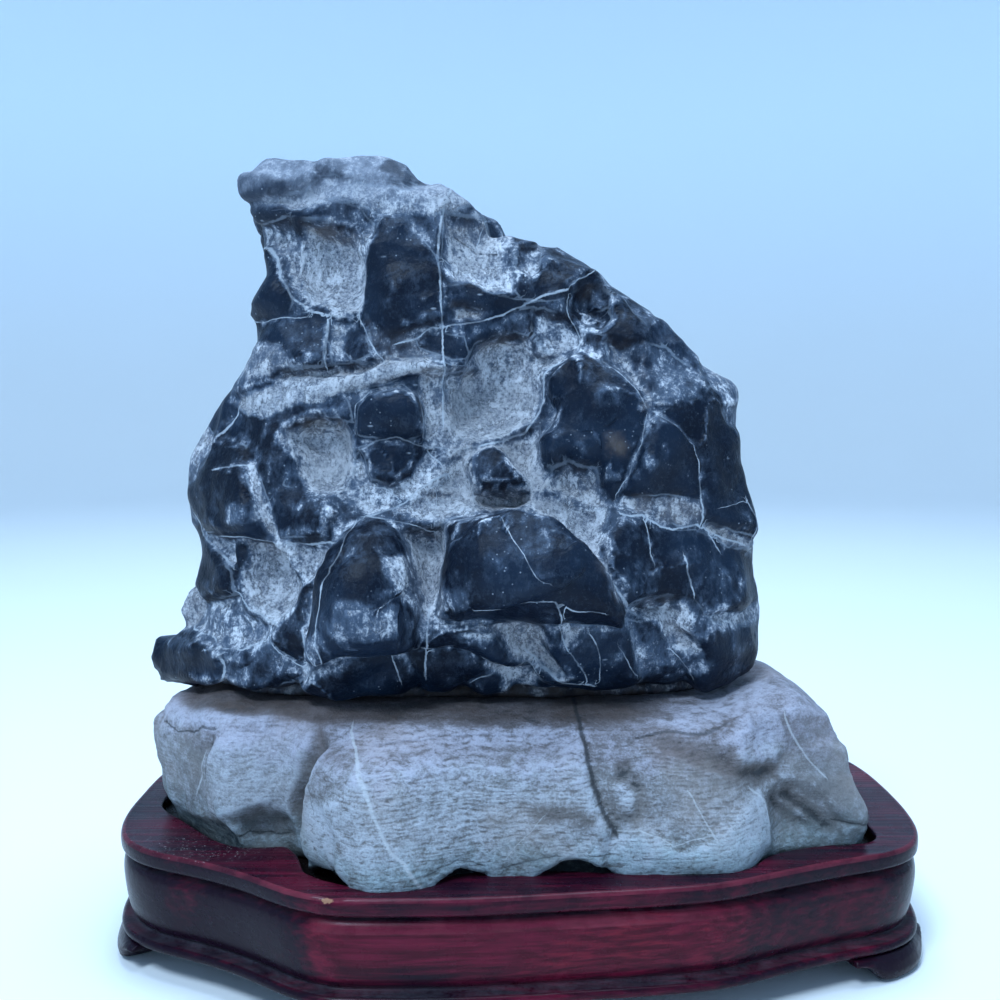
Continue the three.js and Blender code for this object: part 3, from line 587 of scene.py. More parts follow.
def solid_copy(node, name, voxel, smoothing):
    """A copy of a CAD solid with even, fine quads `voxel` mm wide, its facets smoothed away."""
    piece = add_object(name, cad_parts[node].data.copy())
    remesh = piece.modifiers.new("fine", "REMESH")
    remesh.mode = "VOXEL"
    remesh.voxel_size = voxel * MM
    soften = piece.modifiers.new("soften", "SMOOTH")
    soften.factor = 0.5
    soften.iterations = smoothing
    evaluated = piece.evaluated_get(bpy.context.evaluated_depsgraph_get())
    mesh = bpy.data.meshes.new_from_object(evaluated)
    piece.modifiers.clear()
    piece.data = mesh
    return piece


def read_rows(items, key, width, kind=float):
    """One row of `width` numbers for each item of a mesh."""
    flat = np.empty(len(items) * width, kind)
    items.foreach_get(key, flat)
    return flat.reshape(-1, width)


def read_points(mesh):
    return read_rows(mesh.vertices, "co", 3) / MM


def read_normals(mesh):
    return read_rows(mesh.vertex_normals, "vector", 3)


def read_edges(mesh):
    return read_rows(mesh.edges, "vertices", 2, np.int32)


def write_points(mesh, points):
    mesh.vertices.foreach_set("co", (points * MM).ravel())
    mesh.update()


def spread(values, edges, steps=FACET_STEPS):
    """Averages each vertex's value with its neighbours', several times."""
    values = np.array(values, float)
    count = len(values)
    degree = np.bincount(edges.ravel(), minlength=count).clip(1)
    columns = values.reshape(count, -1)
    for _ in range(steps):
        for axis in range(columns.shape[1]):
            column = columns[:, axis]
            total = np.bincount(edges[:, 0], column[edges[:, 1]], count)
            total += np.bincount(edges[:, 1], column[edges[:, 0]], count)
            columns[:, axis] = (column + total / degree) / 2.0
    return columns.reshape(values.shape)


def hollowness(points, normals, edges, steps=CAVITY_STEPS):
    """How far each point lies below its surroundings, in mm."""
    return np.einsum("ij,ij->i", spread(points, edges, steps) - points, normals)


def write_attributes(mesh, **layers):
    """Stores a number for each vertex under each name, for the materials to read."""
    for name, values in layers.items():
        layer = mesh.attributes.new(name, "FLOAT", "POINT")
        layer.data.foreach_set("value", np.asarray(values, np.float32))


def shade_smooth(mesh):
    mesh.polygons.foreach_set("use_smooth", np.ones(len(mesh.polygons), bool))


# ---------------------------------------------------------------- the two stones

# How far a vein's course wanders and how proud it stands, in mm.
VEIN_WANDER = 0.5
VEIN_HEIGHT = 0.3

# Shares of the cells on the sides and back that are hollows, small lumps and small pale spots.
HOLLOW_SHARE = 0.42
LUMP_SHARE = 0.35
SPOT_SHARE = 0.28


def vein_side(points, veins):
    """Distance to the nearest vein over its half width, negative on one side of it, and how
    near and how strong the vein is, from 0 to 1."""
    x = points[:, 0] + VEIN_WANDER * fractal_noise(points, 4.0, 41, 3)
    z = points[:, 2] + VEIN_WANDER * fractal_noise(points, 4.0, 53, 3)
    nearest = np.full(len(points), NO_VEIN)
    across = np.full(len(points), NO_VEIN)
    strength = np.zeros(len(points))
    for width, route in veins:
        side = line_side(x, z, route)
        closer = np.abs(side) < nearest
        across = np.where(closer, side / (width / 2.0), across)
        strength = np.where(closer, min(0.3 + 0.7 * width, 1.0), strength)
        nearest = np.minimum(nearest, np.abs(side))
    return across, strength * smooth_step(1.5, 0.8, nearest)


def relief_all_round(points, size, depth):
    """Swellings, hollows and veins for the sides and back, like those of the front."""
    warp = [fractal_noise(points, size * 0.65, 61 + axis, 3) for axis in range(3)]
    warped = points + size * 0.16 * np.stack(warp, axis=1)
    border, kind, offset = cell_pattern(warped, size, 71)
    small_border, small_kind, _ = cell_pattern(warped, size * 0.45, 83)
    fine_border, fine_kind, _ = cell_pattern(warped, size * 0.75, 97)
    is_hollow = kind < HOLLOW_SHARE
    lean = (offset[:, 2] - offset[:, 0]) / size
    swelling = depth * (0.25 + 0.6 * crown_shape(border, size * 0.35) + 0.5 * lean)
    hollow = -depth * smooth_step(0.0, size * 0.28, border) * (1.0 - 0.6 * lean)
    height = np.where(is_hollow, hollow, swelling)
    lump = (small_kind > 1.0 - LUMP_SHARE) * depth * 0.3
    height += lump * crown_shape(small_border, size * 0.12)
    pale = np.where(is_hollow, 0.3 + 0.55 * smooth_step(0.0, size * 0.15, border), 0.08)
    pale = np.where((small_kind < SPOT_SHARE) & ~is_hollow, 0.38, pale)
    brown = np.where(is_hollow & (small_kind > 0.6), 0.5, 0.0)
    vein = np.where(fine_kind > 0.5, fine_border / 0.3, NO_VEIN)
    return height, pale, brown, vein, border


def fine_stone(node, name, voxel, smoothing):
    """A fine copy of a CAD stone, and its points, normals and edges."""
    piece = solid_copy(node, name, voxel, smoothing)
    mesh = piece.data
    return piece, read_points(mesh), read_normals(mesh), read_edges(mesh)


def front_relief(points, height, pale, tilt, shapes, stains):
    relief = Relief(points, height, pale, tilt)
    for shape in shapes:
        relief.lay(*shape)
    for stain in stains:
        relief.stain_inside(*stain)
    return relief


def vein_ridge(vein, near_vein):
    return VEIN_HEIGHT * smooth_step(2.2, 0.6, np.abs(vein)) * near_vein


def moved(points, normals, distance):
    return points + normals * distance[:, None]


# Sizes of the dark peak's own relief, in mm.
PEAK_VOXEL = 1.08
PEAK_SMOOTHING = 4
PEAK_CELL = 34.0
PEAK_DEPTH = 5.5
SCOOP_DEPTH = 2.6
PIT_SPACING = 5.0
PIT_DEPTH = 0.45
UNDERCUT_DEPTH = 6.5
BELLY_DEPTH = 2.6
BEAK_TIP_CUT = 2.4


def trim_peak_edges(height, points, normals, edges):
    """Fits the side edges and the crown, which draw the outline, and calms their relief."""
    x, _, z = points.T
    facing = np.abs(spread(normals[:, 1], edges))
    left_trim = np.interp(z, *zip(*DARK_LEFT_TRIM))
    right_trim = np.interp(z, *zip(*DARK_RIGHT_TRIM))
    trim = np.where(normals[:, 0] < 0.0, left_trim, right_trim)
    trim *= smooth_step(0.1, 0.6, np.abs(normals[:, 0]))
    height = blend(0.1 * height - 0.8 + trim, height, smooth_step(0.1, 0.65, facing))
    crown_top = smooth_step(0.2, 0.7, spread(normals[:, 2], edges))
    crown_top *= smooth_step(246.0, 256.0, z)
    crown_trim = np.interp(x, *zip(*CROWN_TRIM))
    return blend(height, 0.4 * height - 0.6 + crown_trim, crown_top)


def add_peak_details(height, points, normals, rough):
    """Unevenness, crumbly hollows, pits, the undercut lower edge, the belly and the beak."""
    x, _, z = points.T
    height += 0.7 * fractal_noise(points, 11.0, 101, 3)
    height += rough * 0.8 * fractal_noise(points, 3.4, 113, 2)
    pit_kind, pit_offset = cell_pattern(points, PIT_SPACING, 127)[1:]
    pit = smooth_step(1.2, 0.2, np.linalg.norm(pit_offset, axis=1))
    height -= PIT_DEPTH * pit * (pit_kind > 0.75)
    undercut = smooth_step(88.5, 84.5, z + 0.9 * fractal_noise(points, 16.0, 131, 2))
    height -= UNDERCUT_DEPTH * undercut * smooth_step(0.1, 0.6, -normals[:, 1])
    belly = smooth_step(-76.0, -88.0, x) * smooth_step(0.1, 0.7, -normals[:, 2])
    height += BELLY_DEPTH * belly * smooth_step(100.0, 92.0, z)
    beak_tip = smooth_step(-112.0, -120.0, x) * smooth_step(0.1, 0.7, normals[:, 2])
    height -= BEAK_TIP_CUT * beak_tip * smooth_step(108.0, 103.0, z)
    return height


def dust_peak(pale, points, rough, front):
    """Uneven dust, and more or less of it by height, as in the photo."""
    z = points[:, 2]
    pale += blend(0.15, 0.26, rough) * fractal_noise(points, 10.0, 109, 4, 0.65)
    pale += (0.03 + 0.06 * smooth_step(158.0, 130.0, z)) * (1.0 - rough)
    pale += 0.1 * rough * smooth_step(215.0, 185.0, z)
    pale -= 0.05 * smooth_step(244.0, 254.0, z)
    pale += 0.07 * smooth_step(128.0, 108.0, z) * front
    return pale


def dust_and_shade_peak(pale, brown, points, moved_points, normals, edges, rough):
    """Dust lies in the hollows and on the ridges. Upward faces are paler, dust and painted light
    together, and downward faces are painted darker and browner as shade.
    """
    cavity = hollowness(moved_points, normals, edges)
    pale += 0.3 * smooth_step(0.1, 0.8, cavity) - 0.2 * smooth_step(0.2, 0.9, -cavity)
    ridge = smooth_step(0.05, 0.2, -hollowness(moved_points, normals, edges, RIDGE_STEPS))
    pale += 0.5 * ridge * smooth_step(-0.25, 0.35, fractal_noise(points, 16.0, 141, 3))
    # painted light on upward faces, on top of dust, and painted shade, darker and browner, on downward
    # faces
    pale += 0.3 * smooth_step(0.15, 0.8, normals[:, 2]) * (0.4 + rough)
    pale -= 0.25 * smooth_step(0.1, 0.7, -normals[:, 2])
    brown += 0.5 * smooth_step(0.2, 0.8, -normals[:, 2]) * rough
    return pale, brown


def make_dark_stone():
    piece, points, normals, edges = fine_stone("dark_stone", "dark_peak", PEAK_VOXEL,
                                               PEAK_SMOOTHING)
    mesh = piece.data
    z = points[:, 2]
    relief = front_relief(points, height=1.5, pale=0.22, tilt=0.12, shapes=DARK_FRONT_SHAPES,
                          stains=DARK_FRONT_STAINS)
    around = relief_all_round(points, PEAK_CELL, PEAK_DEPTH)
    round_height, round_pale, round_brown, round_vein, round_rim = around

    front = smooth_step(-0.2, 0.25, -spread(normals[:, 1], edges))
    height = blend(round_height, relief.height, front)
    pale = blend(round_pale, relief.pale, front)
    brown = blend(round_brown, relief.brown, front)
    rim = np.where(front > 0.5, relief.rim, round_rim)
    front_vein, near_vein = vein_side(points, DARK_FRONT_VEINS)
    vein = np.where(front > 0.5, front_vein, round_vein)
    near_vein = np.where(front > 0.5, near_vein, 1.0)

    scoops = np.abs(soft_noise(points, 17.0, 151) + 0.3 * soft_noise(points, 8.0, 157))
    height = spread(1.15 * height, edges, SOFTEN_STEPS) - SCOOP_DEPTH * scoops
    height = trim_peak_edges(height, points, normals, edges)
    height += vein_ridge(vein, near_vein)
    rough = smooth_step(0.3, 0.8, pale)
    height = add_peak_details(height, points, normals, rough)
    pale = dust_peak(pale, points, rough, front)

    # The underside, on which the peak rests, stays flat. Then the sharpest spikes are drawn in.
    above_seat = smooth_step(0.0, 1.5, z - z.min())
    shifted = moved(points, normals, height * above_seat)
    cavity = hollowness(shifted, normals, edges)
    shifted = moved(shifted, normals, cavity * smooth_step(1.3, 2.2, -cavity))
    write_points(mesh, shifted)
    normals = read_normals(mesh)
    pale, brown = dust_and_shade_peak(pale, brown, points, shifted, normals, edges, rough)
    write_attributes(mesh, pale=np.clip(pale, 0.0, 1.0), brown=np.clip(brown, 0.0, 1.0),
                     vein=np.clip(vein, -NO_VEIN, NO_VEIN), near_vein=near_vein,
                     rim=np.clip(rim, -NO_RIM, NO_RIM), near_rim=smooth_step(2.2, 1.2, np.abs(rim)),
                     rubbed=smooth_step(239.0, 250.0, z))
    shade_smooth(mesh)
    return piece


# Sizes of the pale slab's own relief, in mm.
SLAB_VOXEL = 1.1
SLAB_SMOOTHING = 10
SLAB_CELL = 30.0
SLAB_DEPTH = 3.0
CRACK_DEPTH = 0.8
LAYER_HEIGHT = 0.28
LAYER_STRETCH = np.array([0.36, 0.36, 1.0])
SHOULDER_RISE = 4.5
NEAR_END_DROP = 3.8
FAR_END_DROP = 6.0
FAR_CORNER_DROP = 3.0


def add_slab_details(height, points, vein, near_vein, crack, near_crack):
    """Cracks, veins, unevenness, thin layers, and the rises and drops along the slab's top."""
    x, _, z = points.T
    height -= CRACK_DEPTH * smooth_step(2.4, 0.5, np.abs(crack)) * near_crack
    height += vein_ridge(vein, near_vein)
    height += 0.9 * fractal_noise(points, 13.0, 201, 3)
    height += LAYER_HEIGHT * fractal_noise(points * LAYER_STRETCH, 2.6, 211, 2)
    height += SHOULDER_RISE * (smooth_step(55.0, 75.0, x) * smooth_step(72.0, 82.0, z))
    height -= NEAR_END_DROP * (smooth_step(-97.0, -109.0, x) * smooth_step(70.0, 79.0, z))
    height -= FAR_END_DROP * (smooth_step(84.0, 102.0, x) * smooth_step(70.0, 79.0, z))
    corner = smooth_step(86.0, 106.0, x) * smooth_step(50.0, 60.0, z)
    height -= FAR_CORNER_DROP * corner * smooth_step(80.0, 72.0, z)
    return height


def slab_light_shade_and_seam(pale, brown, points, moved_points, normals, edges):
    """Painted light on ridges and upward faces, painted shade in the hollows, the brown stain and
    painted contact shadow round the peak's foot, and painted shade in the recess.
    """
    x, y, z = points.T
    cavity = hollowness(moved_points, normals, edges)
    pale += 0.25 * smooth_step(0.1, 0.7, -cavity) - 0.3 * smooth_step(0.1, 0.8, cavity)
    pale += 0.12 * smooth_step(0.2, 0.8, normals[:, 2])
    # the seam: brown stain and painted contact shadow round the peak's foot
    wander = 2.5 * fractal_noise(points, 14.0, 221, 3)
    seam_edge = np.interp(x, *zip(*SEAM_EDGE))
    seam = smooth_step(-3.0, 6.0, y - seam_edge + wander) * smooth_step(77.0, 80.5, z)
    seam *= smooth_step(60.0, 32.0, x) * smooth_step(-120.0, -106.0, x)
    pale = blend(pale, 0.3 + 0.4 * fractal_noise(points, 10.0, 227, 3), seam)
    brown = blend(brown, 0.7 + 0.6 * fractal_noise(points, 15.0, 229, 3), seam)
    # painted shade in the recess: the slab goes dark below the stand's rim
    return pale * smooth_step(37.5, 41.5, z), brown


def make_pale_stone():
    piece, points, normals, edges = fine_stone("pale_base_stone", "pale_slab", SLAB_VOXEL,
                                               SLAB_SMOOTHING)
    mesh = piece.data
    x, y, z = points.T
    relief = front_relief(points, height=0.0, pale=0.6, tilt=0.03, shapes=PALE_FRONT_SHAPES,
                          stains=PALE_FRONT_STAINS)
    around = relief_all_round(points, SLAB_CELL, SLAB_DEPTH)
    round_height, round_pale, round_brown, round_vein, _ = around
    back = smooth_step(5.0, 30.0, y)
    sideways = smooth_step(0.45, 0.85, np.abs(spread(normals[:, 0], edges)))
    sideways *= smooth_step(78.0, 96.0, np.abs(x + 4.0))
    front = (1.0 - back) * (1.0 - 0.6 * sideways)
    height = blend(round_height, relief.height, front)
    pale = blend(0.35 + 0.6 * round_pale, relief.pale, front)
    brown = blend(round_brown * 0.6, relief.brown, front)
    front_vein, near_vein = vein_side(points, PALE_FRONT_VEINS)
    vein = np.where(front > 0.3, front_vein, round_vein * 1.6)
    near_vein = np.where(front > 0.3, near_vein, 1.0)
    crack, near_crack = vein_side(points, PALE_FRONT_CRACKS)
    near_crack *= front > 0.3

    height = spread(height, edges, SOFTEN_STEPS)
    block_top = smooth_step(70.0, 79.0, z) * smooth_step(24.0, 16.0, x)
    block_top *= smooth_step(-66.0, -56.0, x) * (1.0 - back)
    height = blend(height, -1.2, block_top)
    height = blend(height, 0.2 * height - 1.6, sideways * (y < 20.0))
    height = add_slab_details(height, points, vein, near_vein, crack, near_crack)

    # The foot in the recess and the top under the peak keep the CAD solid's shape.
    under_peak = smooth_step(0.8, 0.97, normals[:, 2])
    under_peak *= smooth_step(100.0, 70.0, np.abs(x + 8.0))
    seat = smooth_step(36.5, 39.0, z) * (1.0 - under_peak)
    shifted = moved(points, normals, height * seat)
    write_points(mesh, shifted)
    normals = read_normals(mesh)
    pale, brown = slab_light_shade_and_seam(pale, brown, points, shifted, normals, edges)
    rippled = blend(0.55, 1.2, smooth_step(-64.0, -52.0, x))
    rippled *= smooth_step(120.0, 50.0, x + 30.0 * back)
    write_attributes(mesh, pale=np.clip(pale, 0.0, 1.0), brown=np.clip(brown, 0.0, 1.0),
                     vein=np.clip(vein, -NO_VEIN, NO_VEIN), near_vein=near_vein,
                     crack=np.clip(crack, -NO_VEIN, NO_VEIN), near_crack=near_crack,
                     rippled=rippled)
    shade_smooth(mesh)
    return piece


# ---------------------------------------------------------------- the stand

STAND_CENTRE = np.array([-3.0, -5.0])
RING_COUNT = 480
CURVE_STEPS = 5
FOOT_VOXEL = 0.45
FOOT_SMOOTHING = 6

# Heights of the stand, in mm.
UNDERSIDE = 9.0
RECESS_FLOOR = 36.0
RIM_LEVEL = 39.0
STAND_TOP = 41.0

# Mouldings of the stand's edge from its underside to its top, as (inset from the rim, height).
BEAD = [(1.6, 9.0), (0.5, 9.1), (-0.3, 9.8), (-0.35, 11.0), (0.6, 12.0), (2.6, 12.3)]
CUSHION = [(3.8, 12.8), (4.0, 13.4), (3.2, 14.3), (2.2, 17.0), (1.4, 21.0), (0.8, 26.0),
           (0.7, 29.5), (1.2, 32.0), (2.4, 33.6), (3.4, 34.3)]
LIP = [(3.7, 34.8), (2.6, 35.2), (1.2, 35.5), (0.2, 36.4), (0.0, 38.0), (0.0, 39.3),
       (0.3, 40.4), (1.1, 41.0), (2.4, 41.0)]

# The chip on the lip's front left, and the middle and reach of the pale specks, in mm.
CHIP_PLACE = np.array([-54.0, -81.8, 40.6])
CHIP_STRETCH = [0.55, 1.0, 1.6]
CHIP_DEPTH = 0.5
SPECKS_PLACE = np.array([-97.0, -45.0, 41.0])
SPECKS_REACH = [26.0, 16.0, 1.0]


def curve_through(points):
    """Points along a smooth curve that passes through the given ones."""
    control = np.array([points[0]] + points + [points[-1]], float)
    curve = []
    for a, b, c, d in zip(control, control[1:], control[2:], control[3:]):
        for t in np.arange(CURVE_STEPS) / CURVE_STEPS:
            curve.append(0.5 * (2 * b + (c - a) * t + (2 * a - 5 * b + 4 * c - d) * t ** 2
                                + (3 * b - a - 3 * c + d) * t ** 3))
    curve.append(control[-1])
    return np.array(curve)


def ring_of(height, softening):
    """The outermost outline of the CAD stand at one height, evenly spread by angle."""
    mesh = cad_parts["stand_body"].data
    points = read_points(mesh)
    edges = read_edges(mesh)
    at_height = np.abs(points[:, 2] - height) < 0.15
    edges = edges[at_height[edges].all(axis=1)]
    start = points[edges[:, 0], :2] - STAND_CENTRE
    end = points[edges[:, 1], :2] - STAND_CENTRE
    angles = np.linspace(-math.pi, math.pi, RING_COUNT, endpoint=False)
    radius = np.zeros(RING_COUNT)
    for index, angle in enumerate(angles):
        ray = np.array([math.cos(angle), math.sin(angle)])
        left_start = ray[0] * start[:, 1] - ray[1] * start[:, 0]
        left_end = ray[0] * end[:, 1] - ray[1] * end[:, 0]
        crossed = left_start * left_end < 0.0
        share = left_start[crossed] / (left_start[crossed] - left_end[crossed])
        hit = blend(start[crossed], end[crossed], share[:, None])
        radius[index] = (hit @ ray).max()
    for _ in range(softening):
        radius = (np.roll(radius, 1) + 2 * radius + np.roll(radius, -1)) / 4
    ring = np.stack([np.cos(angles), np.sin(angles)], axis=1) * radius[:, None]
    return ring + STAND_CENTRE


def outward(ring):
    along = np.roll(ring, -1, axis=0) - np.roll(ring, 1, axis=0)
    along /= np.linalg.norm(along, axis=1)[:, None]
    return np.stack([along[:, 1], -along[:, 0]], axis=1)


def edge_wear(inset, height):
    """Wear on the edges of the bead and the lip, and a painted highlight along the cushion's top
    edge, from 0 to 1.
    """
    if height < 11.4:
        return 0.25
    # painted highlight along the cushion's top edge
    if 30.5 < height < 33.8:
        return 0.9
    return float(height > 40.0 and inset < 1.5)


def groove_dust(inset, height):
    """Dust in the grooves below and above the cushion and under the lip, from 0 to 1."""
    if height < 12.8:
        return float(height > 12.0)
    if height < 34.4:
        return max(0.0, 1.0 - (height - 12.8) / 1.8) + max(0.0, 1.0 - (34.3 - height) / 1.2)
    return float(inset > 1.8 and height < 36.0)

def stand_rings():
    """All rings of the stand from the middle of its underside to the middle of its recess, as
    (ring, height, wear and painted light, dust in the grooves). In the recess the wood is painted dark as
    shade, wear -1."""
    rim = ring_of(RIM_LEVEL, 8)
    recess = ring_of(RECESS_FLOOR, 2)
    out = outward(rim)
    rings = []
    for share in (0.02, 0.5, 0.93):
        rings.append((STAND_CENTRE + (rim - STAND_CENTRE) * share, UNDERSIDE, 0.0, 0.0))
    for moulding in (BEAD, CUSHION, LIP):
        for inset, height in curve_through(moulding):
            rings.append((rim - out * inset, height, edge_wear(inset, height),
                          groove_dust(inset, height)))
    top = rim - out * LIP[-1][0]
    for share in (0.15, 0.4, 0.7, 0.93):
        rings.append((blend(top, recess, share), STAND_TOP, 0.0, 0.0))
    inward = outward(recess)
    rings.append((recess + inward * 0.5, STAND_TOP, 0.0, 0.0))
    rings.append((recess + inward * 0.1, STAND_TOP - 0.2, 0.3, 0.0))
    rings.append((recess, STAND_TOP - 0.7, 0.0, 0.0))
    rings.append((recess, 38.0, -1.0, 0.0))
    rings.append((recess, RECESS_FLOOR, -1.0, 0.0))
    for share in (0.95, 0.5, 0.02):
        rings.append((STAND_CENTRE + (recess - STAND_CENTRE) * share, RECESS_FLOOR, -1.0, 0.0))
    return rings


def ring_mesh(rings):
    """A closed skin over the rings, and its points in mm."""
    points = [np.column_stack([ring[0], np.full(RING_COUNT, ring[1])]) for ring in rings]
    points = np.concatenate(points)
    faces = []
    for low in range(0, len(points) - RING_COUNT, RING_COUNT):
        high = low + RING_COUNT
        for index in range(RING_COUNT):
            following = (index + 1) % RING_COUNT
            faces.append((low + index, low + following, high + following, high + index))
    faces.append(tuple(reversed(range(RING_COUNT))))
    faces.append(tuple(range(len(points) - RING_COUNT, len(points))))
    mesh = bpy.data.meshes.new("stand")
    mesh.from_pydata((points * MM).tolist(), [], faces)
    mesh.update()
    return mesh, points


def make_stand():
    rings = stand_rings()
    mesh, points = ring_mesh(rings)
    piece = add_object("stand", mesh)
    x, _, z = points.T
    normals = read_normals(mesh)
    uneven = 0.13 * fractal_noise(points, 24.0, 301, 2) + 0.05 * fractal_noise(points, 6.0, 307, 2)
    chip = np.linalg.norm((points - CHIP_PLACE) * CHIP_STRETCH, axis=1)
    uneven -= CHIP_DEPTH * smooth_step(3.0, 1.0, chip)
    uneven *= smooth_step(9.2, 11.0, z)
    write_points(mesh, moved(points, normals, uneven))

    # The grain runs along the rim. Painted light: the apron's front is redder, most on its cushion;
    #     painted shade: its sides, top, lip, bead and right end are darker.
    rim = rings[3][0]
    step_length = np.linalg.norm(np.roll(rim, -1, axis=0) - rim, axis=1)
    along = np.concatenate([[0.0], np.cumsum(step_length)[:-1]])
    front = np.tile(smooth_step(0.86, 0.99, -outward(rim)[:, 1]), len(rings))
    on_cushion = smooth_step(13.0, 25.0, z) * smooth_step(35.5, 33.0, z)
    wear = np.repeat([ring[2] for ring in rings], RING_COUNT)
    wear *= np.where(on_cushion > 0.0, front, 1.0)
    front *= 0.45 + 0.55 * on_cushion
    front *= 0.35 + 0.65 * smooth_step(112.0, 62.0, x)
    front = blend(front, 0.35, smooth_step(0.5, 0.9, normals[:, 2]))
    scatter = np.linalg.norm((points - SPECKS_PLACE) / SPECKS_REACH, axis=1)
    write_attributes(mesh, along=np.tile(along, len(rings)), front=front, wear=wear,
                     dust=np.repeat([ring[3] for ring in rings], RING_COUNT), chip=chip,
                     specks=smooth_step(1.3, 0.4, scatter))
    shade_smooth(mesh)
    return piece


def make_foot(node):
    """A scroll foot, its facets rounded. Its lacquer is whole, plain and clean, and gets the
    painted shade of the stand's sides.
    """
    piece = solid_copy(node, node.replace("stand_foot", "scroll_foot"), FOOT_VOXEL, FOOT_SMOOTHING)
    mesh = piece.data
    none = np.zeros(len(mesh.vertices))
    write_attributes(mesh, along=none, wear=none, dust=none, specks=none, front=none,
                     chip=none + FAR)
    shade_smooth(mesh)
    return piece


# ---------------------------------------------------------------- materials

def is_socket(value):
    return isinstance(value, bpy.types.NodeSocket)


class Nodes:
    """Short names for the shader nodes that the materials use."""

    def __init__(self, name):
        self.material = bpy.data.materials.new(name)
        self.material.use_nodes = True
        self.tree = self.material.node_tree
        self.shader = self.tree.nodes["Principled BSDF"]
        self.place = self.add("ShaderNodeTexCoord").outputs["Object"]

    def add(self, kind, **numbers):
        """A new node, with the given numbers in its inputs: From_Min=0.2 sets "From Min"."""
        node = self.tree.nodes.new(kind)
        for name, number in numbers.items():
            node.inputs[name.replace("_", " ")].default_value = number
        return node

    def link(self, value, socket):
        if is_socket(value):
            self.tree.links.new(value, socket)
        else:
            socket.default_value = value

    def attribute(self, name):
        node = self.add("ShaderNodeAttribute")
        node.attribute_name = name
        return node.outputs["Fac"]

    def place_parts(self):
        """The x, y and z of the place, in metres."""
        node = self.add("ShaderNodeSeparateXYZ")
        self.link(self.place, node.inputs[0])
        return node.outputs

    def stretched(self, scale):
        node = self.add("ShaderNodeMapping", Scale=scale)
        self.link(self.place, node.inputs["Vector"])
        return node.outputs["Vector"]

    def noise(self, size, detail=4.0, rough=0.55, place=None, twist=0.0):
        """Noise from 0 to 1 with features about `size` mm apart."""
        node = self.add("ShaderNodeTexNoise", Scale=1.0 / (size * MM), Detail=detail,
                        Roughness=rough, Distortion=twist)
        self.link(place or self.place, node.inputs["Vector"])
        return node.outputs["Fac"]

    def cells(self, size, place=None):
        """Distance to the nearest of scattered points about `size` mm apart."""
        node = self.add("ShaderNodeTexVoronoi", Scale=1.0 / (size * MM))
        self.link(place or self.place, node.inputs["Vector"])
        return node.outputs["Distance"]

    def ripples(self, pitch, wander):
        """Level ripples `pitch` mm apart, from 0 to 1, whose course wanders."""
        node = self.add("ShaderNodeTexWave", Scale=314.0 / pitch, Distortion=wander, Detail=2.0,
                        Detail_Scale=0.5)
        node.wave_type = "BANDS"
        node.bands_direction = "Z"
        self.link(self.stretched((0.45, 0.45, 1.0)), node.inputs["Vector"])
        return node.outputs["Fac"]

    def math(self, kind, a, b=0.0):
        node = self.add("ShaderNodeMath")
        node.operation = kind
        self.link(a, node.inputs[0])
        self.link(b, node.inputs[1])
        return node.outputs[0]

    def plus(self, a, b):
        return self.math("ADD", a, b)

    def times(self, a, b):
        return self.math("MULTIPLY", a, b)

    def total(self, *parts):
        """Adds noises, each brought to swing about 0 and multiplied by its strength."""
        result = 0.0
        for noise, strength in parts:
            result = self.plus(self.times(self.math("SUBTRACT", noise, 0.5), strength), result)
        return result

    def fade(self, value, low, high, to_low=0.0, to_high=1.0):
        """Goes from `to_low` to `to_high` as the value goes from `low` to `high`."""
        node = self.add("ShaderNodeMapRange", From_Min=low, From_Max=high, To_Min=to_low,
                        To_Max=to_high)
        node.interpolation_type = "SMOOTHSTEP"
        self.link(value, node.inputs["Value"])
        return node.outputs["Result"]

    def line(self, across, near, uneven, width):
        """A thin line where the attribute `across` passes through 0, with an uneven course."""
        away = self.math("ABSOLUTE", self.plus(self.attribute(across), uneven))
        return self.times(self.fade(away, width, width * 0.3), self.attribute(near))

    def mix(self, amount, a, b, how="MIX"):
        node = self.add("ShaderNodeMix")
        node.data_type = "RGBA"
        node.blend_type = how
        self.link(amount, node.inputs["Factor"])
        for value, socket in ((a, node.inputs[6]), (b, node.inputs[7])):
            self.link(value if is_socket(value) else (*value, 1.0), socket)
        return node.outputs[2]

    def tint(self, color, mask, strength, over):
        """Lays the color `over` on another where the mask is 1, `strength` strong."""
        return self.mix(self.times(mask, strength), color, over)

    def bump(self, height, distance, strength, after=None):
        """Small relief `distance` mm deep, on top of the relief `after`."""
        node = self.add("ShaderNodeBump", Distance=distance * MM, Strength=strength)
        self.link(height, node.inputs["Height"])
        if after is not None:
            self.link(after, node.inputs["Normal"])
        return node.outputs["Normal"]

    def finish(self, color, roughness, normal, gloss):
        self.link(color, self.shader.inputs["Base Color"])
        self.link(roughness, self.shader.inputs["Roughness"])
        self.link(normal, self.shader.inputs["Normal"])
        self.shader.inputs["Specular IOR Level"].default_value = gloss
        return self.material


# Colors of the dark peak.
BLACK_STONE = (0.002, 0.005, 0.013)
BLUE_BLACK_STONE = (0.007, 0.016, 0.034)
GREY_FILM = (0.085, 0.120, 0.180)
GREY_POWDER = (0.15, 0.175, 0.23)
WHITE_POWDER = (0.74, 0.76, 0.82)
DULL_POWDER = (0.36, 0.365, 0.39)
BARE_CRUMB = (0.030, 0.045, 0.068)
SCRATCH = (0.022, 0.034, 0.055)
RUBBED_DARK = (0.045, 0.062, 0.095)
RUBBED_LIGHT = (0.30, 0.33, 0.40)
# brown for iron stain and for painted shade under ledges, on undersides and at the top of hollows
IRON_STAIN_AND_SHADE = (0.105, 0.078, 0.062)
CALCITE = (0.50, 0.55, 0.62)
LIGHT_RIM = (0.28, 0.33, 0.40)
FLAKE = (0.36, 0.41, 0.48)


